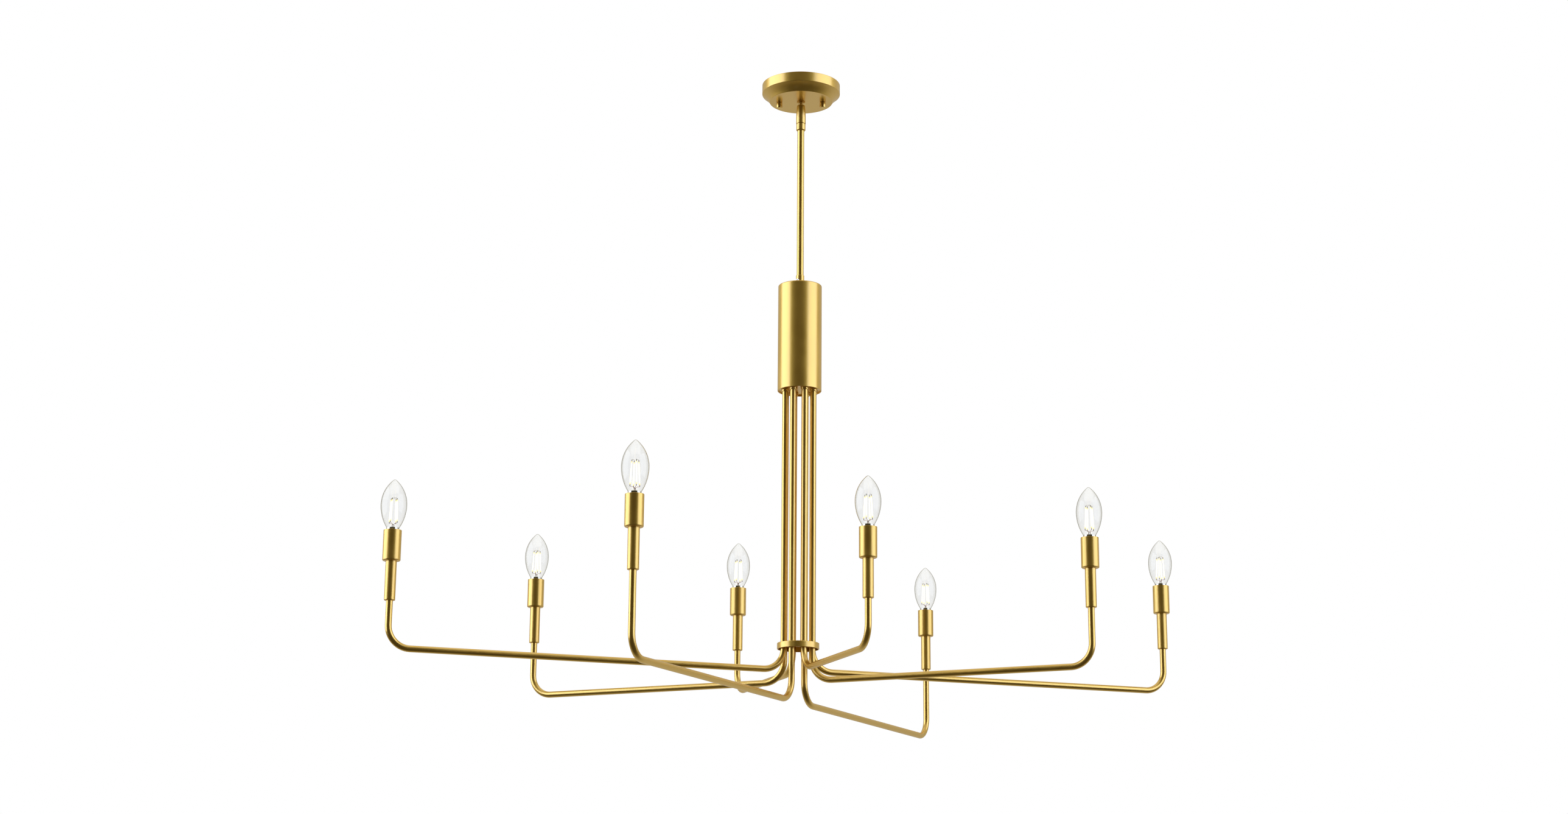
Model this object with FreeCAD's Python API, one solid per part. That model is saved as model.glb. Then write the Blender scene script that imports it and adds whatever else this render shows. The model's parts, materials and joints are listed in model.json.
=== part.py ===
import FreeCAD, Part
import math
import os
from FreeCAD import Vector

# Eight-arm chandelier that hangs from a ceiling box. Millimetres, +Z up, and z = 0 is the ceiling.
# The origin is the middle of the mounting bar's ceiling face. Arms are numbered anticlockwise from
# above, and the second four repeat the first four after half a turn.

# Canopy and what fastens it
CANOPY_RADIUS = 57.5
CANOPY_RIM_HEIGHT = 14.0
CANOPY_DEPTH = 26.0
CANOPY_FACE_RADIUS = 46.2
CANOPY_COVE = 0.9
SHEET = 1.2
BAR_SIZE = (106.0, 18.0, 1.8)
BOX_SCREW_SPACING = 88.9
BOX_SLOT_LENGTH = 9.0
BOX_SLOT_RADIUS = 2.3
STUD_SPACING = 64.0
STUD_RADIUS = 2.0
STUD_LENGTH = 33.0
CAP_NUT_RADIUS = 4.4
CAP_NUT_LENGTH = 8.7
STUD_HOLE_CLEARANCE = 0.4
GROUND_SCREW_PLACE = (18.0, 5.0)
GROUND_SCREW_RADIUS = 1.7
GROUND_SCREW_HEAD_RADIUS = 3.2
GROUND_SCREW_HEAD_HEIGHT = 2.2
DRIVER_SLOT = (7.0, 0.8, 1.0)
BELOW_CEILING = 0.2

# Ball swivel
BALL_RADIUS = 4.4
BALL_DEPTH = 38.5
NECK_RADIUS = 2.2
STEM_RADIUS = 4.9
STEM_BORE = 1.6
STEM_COLLAR_RADIUS = 6.1
STEM_COLLAR_HEIGHT = 2.4
STEM_NUT_HEIGHT = 5.0
LINER_WALL = 0.85
SWIVEL_TOP = -31.0
SWIVEL_BOTTOM = -60.0
SWIVEL_RADIUS = 7.1
SWIVEL_MOUTH_RADIUS = 4.6
SEAM_GAP = 0.4
COUPLER_RADIUS = 6.8
COUPLER_BOTTOM = -71.0
COUPLER_EDGE = 1.2
COUPLER_SOCKET_DEPTH = 8.0
SPIGOT_HEAD_RADIUS = 5.3
SPIGOT_HEAD_TOP = -47.0
SPIGOT_HEAD_BOTTOM = -49.0
SPIGOT_NECK_RADIUS = 4.4
WIRE_BORE = 2.5

# Down rod and drum
ROD_RADIUS = 5.0
ROD_BORE = 4.0
ROD_COLLAR_RADIUS = 6.0
ROD_COLLAR_HEIGHT = 16.0
SET_SCREW_TURN = -122.0
SET_SCREW_LEVEL = -302.6
SET_SCREW_HEAD_RADIUS = 2.7
SET_SCREW_HEAD_HEIGHT = 1.4
SET_SCREW_SHANK_RADIUS = 1.5
SET_SCREW_RECESS_RADIUS = 1.2
DRUM_RADIUS = 31.6
DRUM_TOP = -310.0
DRUM_HEIGHT = 157.5
DRUM_EDGE = 1.6
BASE_RECESS = 2.0
BASE_PLATE = 2.2
POST_RADIUS = 3.95
POST_BORE = 2.5
POST_NUT_ACROSS_FLATS = 13.0
POST_WINDOW_RADIUS = 2.2
POST_WINDOW_BELOW_TOP = 22.0
ROD_NUT_ACROSS_FLATS = 16.0
NUT_HEIGHT = 4.0
DRUM_TOP_WALL = 1.5
ROD_INTO_DRUM = 10.0

# Arms
ARM_COUNT = 8
FIRST_ARM_TURN = 22.5
ARM_REACHES = (577.0, 488.0, 260.0, 428.0)
RUN_LEVELS = (-870.0, -914.0, -870.0, -885.0)
TUBE_CIRCLE_RADIUS = 21.4
TUBE_RADIUS = 4.5
TUBE_BORE = 3.5
BEND_RADIUS = 30.0
TUBE_TOP = -452.0
TUBE_STOP_RADIUS = 6.0
TUBE_STOP_HEIGHT = 3.0
COLLAR_FLANGE_RADIUS = 6.3
COLLAR_FLANGE_HEIGHT = 1.5
COLLAR_RADIUS = 5.7
COLLAR_HEIGHT = 3.2
COLLAR_SPIGOT_RADIUS = 5.3
SPACER_RADIUS = 29.6
SPACER_TOP = -831.5
SPACER_HEIGHT = 8.5
SPACER_WALL = 1.5

# Candle ends
CUP_RADIUS = 12.05
CUP_TOP = -713.0
CUP_HEIGHT = 41.5
CUP_FLOOR = 1.8
CUP_WALL = 1.1
CUP_EDGE = 1.7
SLEEVE_RADIUS = 7.4
SLEEVE_LENGTH = 53.0
SLEEVE_WALL = 1.2
SLEEVE_EDGE = 1.1
TUBE_ABOVE_CUP_FLOOR = 6.0
SOCKET_RADIUS = 9.0
SOCKET_BELOW_RIM = 5.0
SOCKET_BORE = 6.0
SOCKET_FLOOR_TOP = -740.0
SOCKET_WIRE_HOLE = 1.5

# Bulb: C35 glass on an E12 screw base
BULB_RADIUS = 17.5
BULB_WIDEST_ABOVE_CUP = 34.5
GLASS_WALL = 0.8
GLASS_FOOT_ABOVE_CUP = 3.0
SHOULDER_ARC = 59.0
TAPER_ARC = 44.4
TIP_RADIUS = 2.8
SKIRT_RADIUS = 8.6
SKIRT_HEIGHT = 5.1
SKIRT_TAPER = 2.0
SCREW_RADIUS = 5.95
SCREW_LENGTH = 14.0
CONTACT_RADIUS = 2.6
BASE_WALL = 0.8

# Clearances
FACE_GAP = 0.3
RUNNING = 0.05

# Levels that follow from the dimensions above
DRUM_BOTTOM = DRUM_TOP - DRUM_HEIGHT
BASE_FACE = DRUM_BOTTOM + BASE_RECESS
BASE_TOP = BASE_FACE + BASE_PLATE
CUP_BOTTOM = CUP_TOP - CUP_HEIGHT
SLEEVE_BOTTOM = CUP_BOTTOM - SLEEVE_LENGTH
UP = Vector(0, 0, 1)
ORIGIN = Vector(0, 0, 0)


def edges_of(start, steps):
    """Edges through (r, z) points; a pair of points is an arc's middle and end."""
    edges = []
    here = Vector(start[0], 0, start[1])
    for step in steps:
        if isinstance(step[0], tuple):
            middle = Vector(step[0][0], 0, step[0][1])
            there = Vector(step[1][0], 0, step[1][1])
            edges.append(Part.Arc(here, middle, there).toShape())
        else:
            there = Vector(step[0], 0, step[1])
            edges.append(Part.makeLine(here, there))
        here = there
    first = Vector(start[0], 0, start[1])
    if here.distanceToPoint(first) > 1e-6:
        edges.append(Part.makeLine(here, first))
    return edges


def turned(start, *steps):
    """A solid turned about the Z axis from its half outline."""
    face = Part.Face(Part.Wire(edges_of(start, steps)))
    return face.revolve(ORIGIN, UP, 360)


def disc(radius, low, high, x=0.0, y=0.0):
    return Part.makeCylinder(radius, high - low, Vector(x, y, low), UP)


def ring(outer, inner, low, high, x=0.0, y=0.0):
    return disc(outer, low, high, x, y).cut(disc(inner, low - 1, high + 1, x, y))


def hex_nut(across_flats, bore, low, high):
    corner = across_flats / math.sqrt(3)
    corners = [Vector(corner * math.cos(math.radians(60 * side)),
                      corner * math.sin(math.radians(60 * side)), low) for side in range(7)]
    prism = Part.Face(Part.makePolygon(corners)).extrude(Vector(0, 0, high - low))
    return prism.cut(disc(bore, low - 1, high + 1))


def cut_all(shape, tools):
    for tool in tools:
        shape = shape.cut(tool)
    return shape


def rounded(shape, radius, level, edge_radius):
    """Round the circular edges of one radius at one level."""
    picked = [edge for edge in shape.Edges
              if abs(edge.BoundBox.ZMin - level) < 1e-4 and abs(edge.BoundBox.ZMax - level) < 1e-4
              and abs(edge.BoundBox.XMax - radius) < 1e-3]
    return shape.makeFillet(edge_radius, picked)


def arc_point(centre, radius, degrees):
    angle = math.radians(degrees)
    return (centre[0] + radius * math.cos(angle), centre[1] + radius * math.sin(angle))


# --- ceiling fixture ---

def mounting_bar():
    length, width, thickness = BAR_SIZE
    bar = Part.makeBox(length, width, thickness, Vector(-length / 2, -width / 2, -thickness))
    holes = [disc(STEM_RADIUS + RUNNING, -thickness - 1, 1)]
    for side in (-1, 1):
        holes.append(disc(STUD_RADIUS + RUNNING, -thickness - 1, 1, side * STUD_SPACING / 2))
        middle = side * BOX_SCREW_SPACING / 2
        reach = BOX_SLOT_LENGTH / 2 - BOX_SLOT_RADIUS
        for end in (-reach, reach):
            holes.append(disc(BOX_SLOT_RADIUS, -thickness - 1, 1, middle + end))
        holes.append(Part.makeBox(2 * reach, 2 * BOX_SLOT_RADIUS, thickness + 2,
                                  Vector(middle - reach, -BOX_SLOT_RADIUS, -thickness - 1)))
    holes.append(disc(GROUND_SCREW_RADIUS + RUNNING, -thickness - 1, 1, *GROUND_SCREW_PLACE))
    return cut_all(bar, holes)


def ground_screw():
    x, y = GROUND_SCREW_PLACE
    under_bar = -BAR_SIZE[2]
    head_bottom = under_bar - GROUND_SCREW_HEAD_HEIGHT
    shank = disc(GROUND_SCREW_RADIUS, head_bottom, -BELOW_CEILING, x, y)
    head = disc(GROUND_SCREW_HEAD_RADIUS, head_bottom, under_bar, x, y)
    length, width, depth = DRIVER_SLOT
    slot = Part.makeBox(length, width, depth, Vector(x - length / 2, y - width / 2, head_bottom))
    return head.fuse(shank).cut(slot)


def canopy_shell():
    cove_r = (CANOPY_RADIUS + CANOPY_FACE_RADIUS) / 2 - CANOPY_COVE
    cove_z = -(CANOPY_RIM_HEIGHT + CANOPY_DEPTH) / 2 + CANOPY_COVE
    outer = turned((0, 0), (CANOPY_RADIUS, 0), (CANOPY_RADIUS, -CANOPY_RIM_HEIGHT),
                   ((cove_r, cove_z), (CANOPY_FACE_RADIUS, -CANOPY_DEPTH)), (0, -CANOPY_DEPTH))
    inner = turned((0, 1), (CANOPY_RADIUS - SHEET, 1),
                   (CANOPY_RADIUS - SHEET, -CANOPY_RIM_HEIGHT + 0.5),
                   ((cove_r - SHEET, cove_z + SHEET * 0.7),
                    (CANOPY_FACE_RADIUS - SHEET * 0.6, -CANOPY_DEPTH + SHEET)),
                   (0, -CANOPY_DEPTH + SHEET))
    shell = outer.cut(inner)
    holes = [disc(STEM_RADIUS + STUD_HOLE_CLEARANCE, -CANOPY_DEPTH - 1, -CANOPY_DEPTH + 3)]
    for side in (-1, 1):
        holes.append(disc(STUD_RADIUS + STUD_HOLE_CLEARANCE, -CANOPY_DEPTH - 1,
                          -CANOPY_DEPTH + 3, side * STUD_SPACING / 2))
    return cut_all(shell, holes)


def canopy_stud(side):
    return disc(STUD_RADIUS, -STUD_LENGTH, -BELOW_CEILING, side * STUD_SPACING / 2)


def canopy_nut(side):
    top = -CANOPY_DEPTH - FACE_GAP
    bottom = top - CAP_NUT_LENGTH
    nut = turned((STUD_RADIUS + RUNNING, top), (CAP_NUT_RADIUS - 0.5, top),
                 (CAP_NUT_RADIUS - 0.5, top - 0.8), (CAP_NUT_RADIUS, top - 0.8),
                 (CAP_NUT_RADIUS, bottom + 0.8),
                 ((CAP_NUT_RADIUS - 0.25, bottom + 0.25), (CAP_NUT_RADIUS - 0.8, bottom)),
                 (0, bottom), (0, -STUD_LENGTH - 0.5), (STUD_RADIUS + RUNNING, -STUD_LENGTH - 0.5))
    return nut.translated(Vector(side * STUD_SPACING / 2, 0, 0))


# --- ball swivel ---

def ball_stud():
    collar_bottom = -CANOPY_DEPTH - STEM_COLLAR_HEIGHT
    centre = -BALL_DEPTH
    stem = disc(STEM_RADIUS, -CANOPY_DEPTH, -BELOW_CEILING)
    collar = turned((0, -CANOPY_DEPTH), (STEM_COLLAR_RADIUS - 0.8, -CANOPY_DEPTH),
                    (STEM_COLLAR_RADIUS, -CANOPY_DEPTH - 0.9),
                    (STEM_COLLAR_RADIUS, collar_bottom + 0.5),
                    (STEM_COLLAR_RADIUS - 0.5, collar_bottom), (0, collar_bottom))
    neck = disc(NECK_RADIUS, centre, collar_bottom)
    ball = Part.makeSphere(BALL_RADIUS, Vector(0, 0, centre))
    solid = stem.fuse([collar, neck, ball]).removeSplitter()
    return solid.cut(disc(STEM_BORE, centre - BALL_RADIUS - 1, 1))


def stud_nut():
    top = -BAR_SIZE[2]
    return hex_nut(ROD_NUT_ACROSS_FLATS, STEM_RADIUS + RUNNING, top - STEM_NUT_HEIGHT, top)


def ball_liner():
    """A spherical shell between the ball and the swivel body."""
    inner = BALL_RADIUS + RUNNING
    centre = Vector(0, 0, -BALL_DEPTH)
    shell = Part.makeSphere(inner + LINER_WALL, centre).cut(Part.makeSphere(inner, centre))
    band = disc(20, -BALL_DEPTH - 2.6, -BALL_DEPTH + 2.0)
    return shell.common(band)


def swivel_body():
    cavity = BALL_RADIUS + LINER_WALL + 2 * RUNNING
    centre = -BALL_DEPTH
    body = turned((0, SWIVEL_TOP), (SWIVEL_MOUTH_RADIUS + 0.3, SWIVEL_TOP),
                  ((5.75, SWIVEL_TOP - 0.7), (6.05, SWIVEL_TOP - 2.2)),
                  ((6.7, SWIVEL_TOP - 11.0), (SWIVEL_RADIUS, SWIVEL_TOP - 20.0)),
                  (SWIVEL_RADIUS, SWIVEL_BOTTOM), (0, SWIVEL_BOTTOM))
    mouth = Part.makeCone(NECK_RADIUS + 0.35, SWIVEL_MOUTH_RADIUS, SWIVEL_TOP - centre,
                          Vector(0, 0, centre), UP)
    hollow = [Part.makeSphere(cavity, Vector(0, 0, centre)), mouth,
              disc(WIRE_BORE, SPIGOT_HEAD_TOP, centre),
              disc(SPIGOT_HEAD_RADIUS + FACE_GAP, SPIGOT_HEAD_BOTTOM - FACE_GAP,
                   SPIGOT_HEAD_TOP + FACE_GAP),
              disc(SPIGOT_NECK_RADIUS + RUNNING, SWIVEL_BOTTOM - 1, SPIGOT_HEAD_BOTTOM)]
    return cut_all(body, hollow)


def rod_coupler():
    """A coupler whose head and neck turn inside the swivel body."""
    top = SWIVEL_BOTTOM - SEAM_GAP
    body = turned((0, SPIGOT_HEAD_TOP), (SPIGOT_HEAD_RADIUS, SPIGOT_HEAD_TOP),
                  (SPIGOT_HEAD_RADIUS, SPIGOT_HEAD_BOTTOM),
                  (SPIGOT_NECK_RADIUS, SPIGOT_HEAD_BOTTOM),
                  (SPIGOT_NECK_RADIUS, top), (COUPLER_RADIUS, top),
                  (COUPLER_RADIUS, COUPLER_BOTTOM + COUPLER_EDGE),
                  (COUPLER_RADIUS - COUPLER_EDGE, COUPLER_BOTTOM), (0, COUPLER_BOTTOM))
    return cut_all(body, [disc(WIRE_BORE, COUPLER_BOTTOM, SPIGOT_HEAD_TOP + 1),
                          disc(ROD_RADIUS + RUNNING, COUPLER_BOTTOM - 1,
                               COUPLER_BOTTOM + COUPLER_SOCKET_DEPTH)])


# --- down rod and drum ---

def down_rod():
    top = COUPLER_BOTTOM + COUPLER_SOCKET_DEPTH - FACE_GAP
    return ring(ROD_RADIUS, ROD_BORE, DRUM_TOP - ROD_INTO_DRUM, top)


def rod_collar():
    top = DRUM_TOP + ROD_COLLAR_HEIGHT
    collar = turned((ROD_RADIUS + RUNNING, DRUM_TOP), (ROD_COLLAR_RADIUS, DRUM_TOP),
                    (ROD_COLLAR_RADIUS, top - 0.6), (ROD_COLLAR_RADIUS - 0.6, top),
                    (ROD_RADIUS + RUNNING, top))
    return collar.cut(set_screw_bar(SET_SCREW_SHANK_RADIUS + RUNNING, 0.0, ROD_COLLAR_RADIUS))


def set_screw_bar(radius, near, far):
    """A short bar on the set screw's axis, from one distance off the rod's axis to another."""
    turn = math.radians(SET_SCREW_TURN)
    out = Vector(math.cos(turn), math.sin(turn), 0)
    return Part.makeCylinder(radius, far - near, out * near + Vector(0, 0, SET_SCREW_LEVEL), out)


def set_screw():
    """A screw whose round head bears on the rod collar, with a recess for the key."""
    tip = ROD_RADIUS + 2 * RUNNING
    head_end = ROD_COLLAR_RADIUS + SET_SCREW_HEAD_HEIGHT
    shank = set_screw_bar(SET_SCREW_SHANK_RADIUS, tip, head_end)
    head = set_screw_bar(SET_SCREW_HEAD_RADIUS, ROD_RADIUS, head_end)
    head = head.cut(disc(ROD_COLLAR_RADIUS, DRUM_TOP, DRUM_TOP + ROD_COLLAR_HEIGHT))
    return head.fuse(shank).cut(set_screw_bar(SET_SCREW_RECESS_RADIUS, ROD_COLLAR_RADIUS, head_end))


def drum_shell():
    outer = rounded(disc(DRUM_RADIUS, DRUM_BOTTOM, DRUM_TOP), DRUM_RADIUS, DRUM_TOP, DRUM_EDGE)
    outer = rounded(outer, DRUM_RADIUS, DRUM_BOTTOM, SHEET / 2)
    inner = disc(DRUM_RADIUS - SHEET, DRUM_BOTTOM - 1, DRUM_TOP - DRUM_TOP_WALL)
    return outer.cut(inner).cut(disc(ROD_RADIUS + RUNNING, DRUM_TOP - 3, DRUM_TOP + 1))


def tube_places():
    """The arm tubes' centres on their circle."""
    for arm in range(ARM_COUNT):
        turn = math.radians(FIRST_ARM_TURN + 360 / ARM_COUNT * arm)
        yield TUBE_CIRCLE_RADIUS * math.cos(turn), TUBE_CIRCLE_RADIUS * math.sin(turn)


def drum_base_plate():
    plate = disc(DRUM_RADIUS - SHEET - RUNNING, BASE_FACE, BASE_TOP)
    holes = [disc(COLLAR_SPIGOT_RADIUS + RUNNING, BASE_FACE - 1, BASE_TOP + 1, x, y)
             for x, y in tube_places()]
    return cut_all(plate, holes)


def tube_collars():
    flange_bottom = BASE_FACE - COLLAR_FLANGE_HEIGHT
    bottom = flange_bottom - COLLAR_HEIGHT
    bore = TUBE_RADIUS + RUNNING
    collar = turned((bore, BASE_TOP), (COLLAR_SPIGOT_RADIUS, BASE_TOP),
                    (COLLAR_SPIGOT_RADIUS, BASE_FACE), (COLLAR_FLANGE_RADIUS, BASE_FACE),
                    (COLLAR_FLANGE_RADIUS, flange_bottom), (COLLAR_RADIUS, flange_bottom),
                    (COLLAR_RADIUS, bottom + 0.9),
                    ((COLLAR_RADIUS - 0.26, bottom + 0.26), (COLLAR_RADIUS - 0.9, bottom)),
                    (bore, bottom))
    return Part.makeCompound([collar.translated(Vector(x, y, 0)) for x, y in tube_places()])


def centre_post():
    """A hollow post between the base plate and the rod's end, with a window for the wires."""
    post = ring(POST_RADIUS, POST_BORE, BASE_TOP, DRUM_TOP - 6.0)
    window = Part.makeCylinder(POST_WINDOW_RADIUS, 2 * POST_RADIUS,
                               Vector(0, 0, DRUM_TOP - POST_WINDOW_BELOW_TOP), Vector(1, 0, 0))
    return post.cut(window)


def hub_nuts():
    under_top = DRUM_TOP - DRUM_TOP_WALL
    bore = POST_RADIUS + RUNNING
    return Part.makeCompound([
        hex_nut(ROD_NUT_ACROSS_FLATS, ROD_RADIUS + RUNNING, under_top - NUT_HEIGHT, under_top),
        hex_nut(POST_NUT_ACROSS_FLATS, bore, BASE_TOP, BASE_TOP + NUT_HEIGHT)])


def spacer_ring():
    bottom = SPACER_TOP - SPACER_HEIGHT
    spacer = turned((0, SPACER_TOP), (SPACER_RADIUS - 0.8, SPACER_TOP),
                    ((SPACER_RADIUS - 0.23, SPACER_TOP - 0.23), (SPACER_RADIUS, SPACER_TOP - 0.8)),
                    (SPACER_RADIUS, bottom), (SPACER_RADIUS - SPACER_WALL, bottom),
                    (SPACER_RADIUS - SPACER_WALL, SPACER_TOP - SPACER_WALL),
                    (0, SPACER_TOP - SPACER_WALL))
    holes = [disc(TUBE_RADIUS + RUNNING, bottom - 1, SPACER_TOP + 1, x, y)
             for x, y in tube_places()]
    return cut_all(spacer, holes)


# --- arms, each drawn along +X and then turned into place ---

def arm_path(reach, run_level):
    """Down from the drum, out along the run, and up to the cup."""
    bend = BEND_RADIUS
    top = (TUBE_CIRCLE_RADIUS, TUBE_TOP)
    inner = arc_point((TUBE_CIRCLE_RADIUS + bend, run_level + bend), bend, 225)
    outer = arc_point((reach - bend, run_level + bend), bend, -45)
    steps = [(TUBE_CIRCLE_RADIUS, run_level + bend),
             (inner, (TUBE_CIRCLE_RADIUS + bend, run_level)),
             (reach - bend, run_level),
             (outer, (reach, run_level + bend)),
             (reach, CUP_BOTTOM + CUP_FLOOR + TUBE_ABOVE_CUP_FLOOR)]
    return Part.Wire(edges_of(top, steps)[:len(steps)])


def pipe(path, radius, start):
    profile = Part.Wire([Part.makeCircle(radius, start, UP)])
    return path.makePipeShell([profile], True, True)


def arm_tube(reach, run_level):
    path = arm_path(reach, run_level)
    start = Vector(TUBE_CIRCLE_RADIUS, 0, TUBE_TOP)
    tube = pipe(path, TUBE_RADIUS, start).cut(pipe(path, TUBE_BORE, start))
    stop_bottom = BASE_TOP + FACE_GAP
    stop = ring(TUBE_STOP_RADIUS, TUBE_RADIUS - 0.5, stop_bottom, stop_bottom + TUBE_STOP_HEIGHT,
                TUBE_CIRCLE_RADIUS)
    return tube.fuse(stop)


def sleeve():
    hollow_floor = SLEEVE_BOTTOM + 2.0
    lip = TUBE_RADIUS + RUNNING
    return rounded(turned((lip, SLEEVE_BOTTOM), (SLEEVE_RADIUS, SLEEVE_BOTTOM),
                          (SLEEVE_RADIUS, CUP_BOTTOM), (SLEEVE_RADIUS - SLEEVE_WALL, CUP_BOTTOM),
                          (SLEEVE_RADIUS - SLEEVE_WALL, hollow_floor), (lip, hollow_floor)),
                   SLEEVE_RADIUS, SLEEVE_BOTTOM, SLEEVE_EDGE)


def cup():
    floor = CUP_BOTTOM + CUP_FLOOR
    hole = TUBE_RADIUS + RUNNING
    return rounded(turned((hole, CUP_BOTTOM), (CUP_RADIUS, CUP_BOTTOM), (CUP_RADIUS, CUP_TOP),
                          (CUP_RADIUS - CUP_WALL, CUP_TOP), (CUP_RADIUS - CUP_WALL, floor),
                          (hole, floor)),
                   CUP_RADIUS, CUP_BOTTOM, CUP_EDGE)


def socket():
    floor = CUP_BOTTOM + CUP_FLOOR
    tube_end = floor + TUBE_ABOVE_CUP_FLOOR
    body = disc(SOCKET_RADIUS, floor, CUP_TOP - SOCKET_BELOW_RIM)
    return cut_all(body, [disc(SOCKET_BORE, SOCKET_FLOOR_TOP, CUP_TOP),
                          disc(TUBE_RADIUS + RUNNING, floor - 1, tube_end),
                          disc(SOCKET_WIRE_HOLE, tube_end - 1, SOCKET_FLOOR_TOP + 1)])


def bulb_arcs(radius_cut):
    """The glass outline, drawn in from the true surface by radius_cut."""
    widest = CUP_TOP + BULB_WIDEST_ABOVE_CUP
    foot = CUP_TOP + GLASS_FOOT_ABOVE_CUP
    low_centre = (BULB_RADIUS - SHOULDER_ARC, widest)
    high_centre = (BULB_RADIUS - TAPER_ARC, widest)
    low = SHOULDER_ARC - radius_cut
    high = TAPER_ARC - radius_cut
    foot_turn = math.degrees(math.asin((foot - widest) / low))
    tip = TIP_RADIUS - radius_cut
    tip_turn = math.degrees(math.acos(-high_centre[0] / (TAPER_ARC - TIP_RADIUS)))
    tip_centre = (0, widest + (TAPER_ARC - TIP_RADIUS) * math.sin(math.radians(tip_turn)))
    return {"foot": arc_point(low_centre, low, foot_turn),
            "shoulder": (arc_point(low_centre, low, foot_turn / 2), arc_point(low_centre, low, 0)),
            "taper": (arc_point(high_centre, high, tip_turn / 2),
                      arc_point(high_centre, high, tip_turn)),
            "tip": (arc_point(tip_centre, tip, (tip_turn + 90) / 2), (0, tip_centre[1] + tip))}


def bulb_glass():
    outer = bulb_arcs(0.0)
    inner = bulb_arcs(GLASS_WALL)
    foot = CUP_TOP + GLASS_FOOT_ABOVE_CUP
    solid = turned((0, foot), outer["foot"], outer["shoulder"], outer["taper"], outer["tip"])
    hollow = turned((0, foot - 1), (inner["foot"][0], foot - 1), inner["foot"],
                    inner["shoulder"], inner["taper"], inner["tip"])
    return solid.cut(hollow)


def bulb_base():
    """A hollow screw base: skirt, taper, threaded barrel and centre contact."""
    foot = CUP_TOP + GLASS_FOOT_ABOVE_CUP
    skirt_bottom = foot - SKIRT_HEIGHT
    screw_top = skirt_bottom - SKIRT_TAPER
    screw_bottom = screw_top - SCREW_LENGTH
    shell = turned((0, foot), (SKIRT_RADIUS, foot), (SKIRT_RADIUS, skirt_bottom),
                   (SCREW_RADIUS, screw_top), (SCREW_RADIUS, screw_bottom),
                   (CONTACT_RADIUS + 1.0, screw_bottom - 2.0),
                   (CONTACT_RADIUS, screw_bottom - 3.0), (0, screw_bottom - 3.2))
    hollow = turned((0, foot + 1), (SKIRT_RADIUS - BASE_WALL, foot + 1),
                    (SKIRT_RADIUS - BASE_WALL, skirt_bottom),
                    (SCREW_RADIUS - BASE_WALL, screw_top), (SCREW_RADIUS - BASE_WALL, screw_bottom),
                    (0, screw_bottom))
    return shell.cut(hollow)


def bulb():
    return Part.makeCompound([bulb_glass(), bulb_base()])


def placed(shape, arm, reach):
    """Move a candle-end piece out to the arm's reach and turn it with its arm."""
    moved = shape.translated(Vector(reach, 0, 0))
    return moved.rotated(ORIGIN, UP, FIRST_ARM_TURN + 360 / ARM_COUNT * arm)


def hub_pieces():
    return {"mounting_bar": mounting_bar(), "ground_screw": ground_screw(),
            "canopy_shell": canopy_shell(),
            "canopy_studs": Part.makeCompound([canopy_stud(-1), canopy_stud(1)]),
            "canopy_nut_1": canopy_nut(-1), "canopy_nut_2": canopy_nut(1),
            "ball_stud": ball_stud(), "stud_nut": stud_nut(), "ball_liner": ball_liner(),
            "swivel_body": swivel_body(), "rod_coupler": rod_coupler(), "down_rod": down_rod(),
            "rod_collar": rod_collar(), "set_screw": set_screw(), "drum_shell": drum_shell(),
            "drum_base_plate": drum_base_plate(), "tube_collars": tube_collars(),
            "centre_post": centre_post(), "hub_nuts": hub_nuts(), "spacer_ring": spacer_ring()}


def arm_pieces():
    pieces = {}
    ends = {"sleeve": sleeve(), "cup": cup(), "socket": socket(), "bulb": bulb()}
    for arm in range(ARM_COUNT):
        reach = ARM_REACHES[arm % len(ARM_REACHES)]
        run_level = RUN_LEVELS[arm % len(RUN_LEVELS)]
        pieces["arm_tube_%d" % (arm + 1)] = placed(arm_tube(reach, run_level), arm, 0.0)
        for name, shape in ends.items():
            pieces["%s_%d" % (name, arm + 1)] = placed(shape, arm, reach)
    return pieces


def main():
    os.makedirs("parts", exist_ok=True)
    pieces = hub_pieces()
    pieces.update(arm_pieces())
    for name, shape in pieces.items():
        if not shape.isValid() or min(solid.Volume for solid in shape.Solids) <= 0:
            raise ValueError("bad solid: " + name)
        shape.exportStep("parts/%s.step" % name)
    print(len(pieces), "nodes written")


main()
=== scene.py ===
import json
import math
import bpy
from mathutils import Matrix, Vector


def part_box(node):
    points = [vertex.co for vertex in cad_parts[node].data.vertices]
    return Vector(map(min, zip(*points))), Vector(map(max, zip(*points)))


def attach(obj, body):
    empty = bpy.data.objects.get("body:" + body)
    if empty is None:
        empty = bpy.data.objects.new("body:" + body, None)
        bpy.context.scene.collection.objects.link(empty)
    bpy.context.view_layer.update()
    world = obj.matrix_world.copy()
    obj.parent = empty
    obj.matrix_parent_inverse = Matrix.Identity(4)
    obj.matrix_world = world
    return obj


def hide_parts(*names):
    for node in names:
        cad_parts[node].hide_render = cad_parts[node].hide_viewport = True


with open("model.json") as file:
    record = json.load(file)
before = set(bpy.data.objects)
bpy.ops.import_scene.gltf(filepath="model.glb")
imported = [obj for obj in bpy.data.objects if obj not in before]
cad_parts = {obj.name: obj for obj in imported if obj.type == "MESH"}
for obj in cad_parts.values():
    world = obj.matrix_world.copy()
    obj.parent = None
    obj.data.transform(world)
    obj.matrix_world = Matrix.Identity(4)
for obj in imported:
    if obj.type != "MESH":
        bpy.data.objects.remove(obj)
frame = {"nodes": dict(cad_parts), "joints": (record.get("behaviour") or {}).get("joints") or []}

from types import SimpleNamespace

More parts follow.
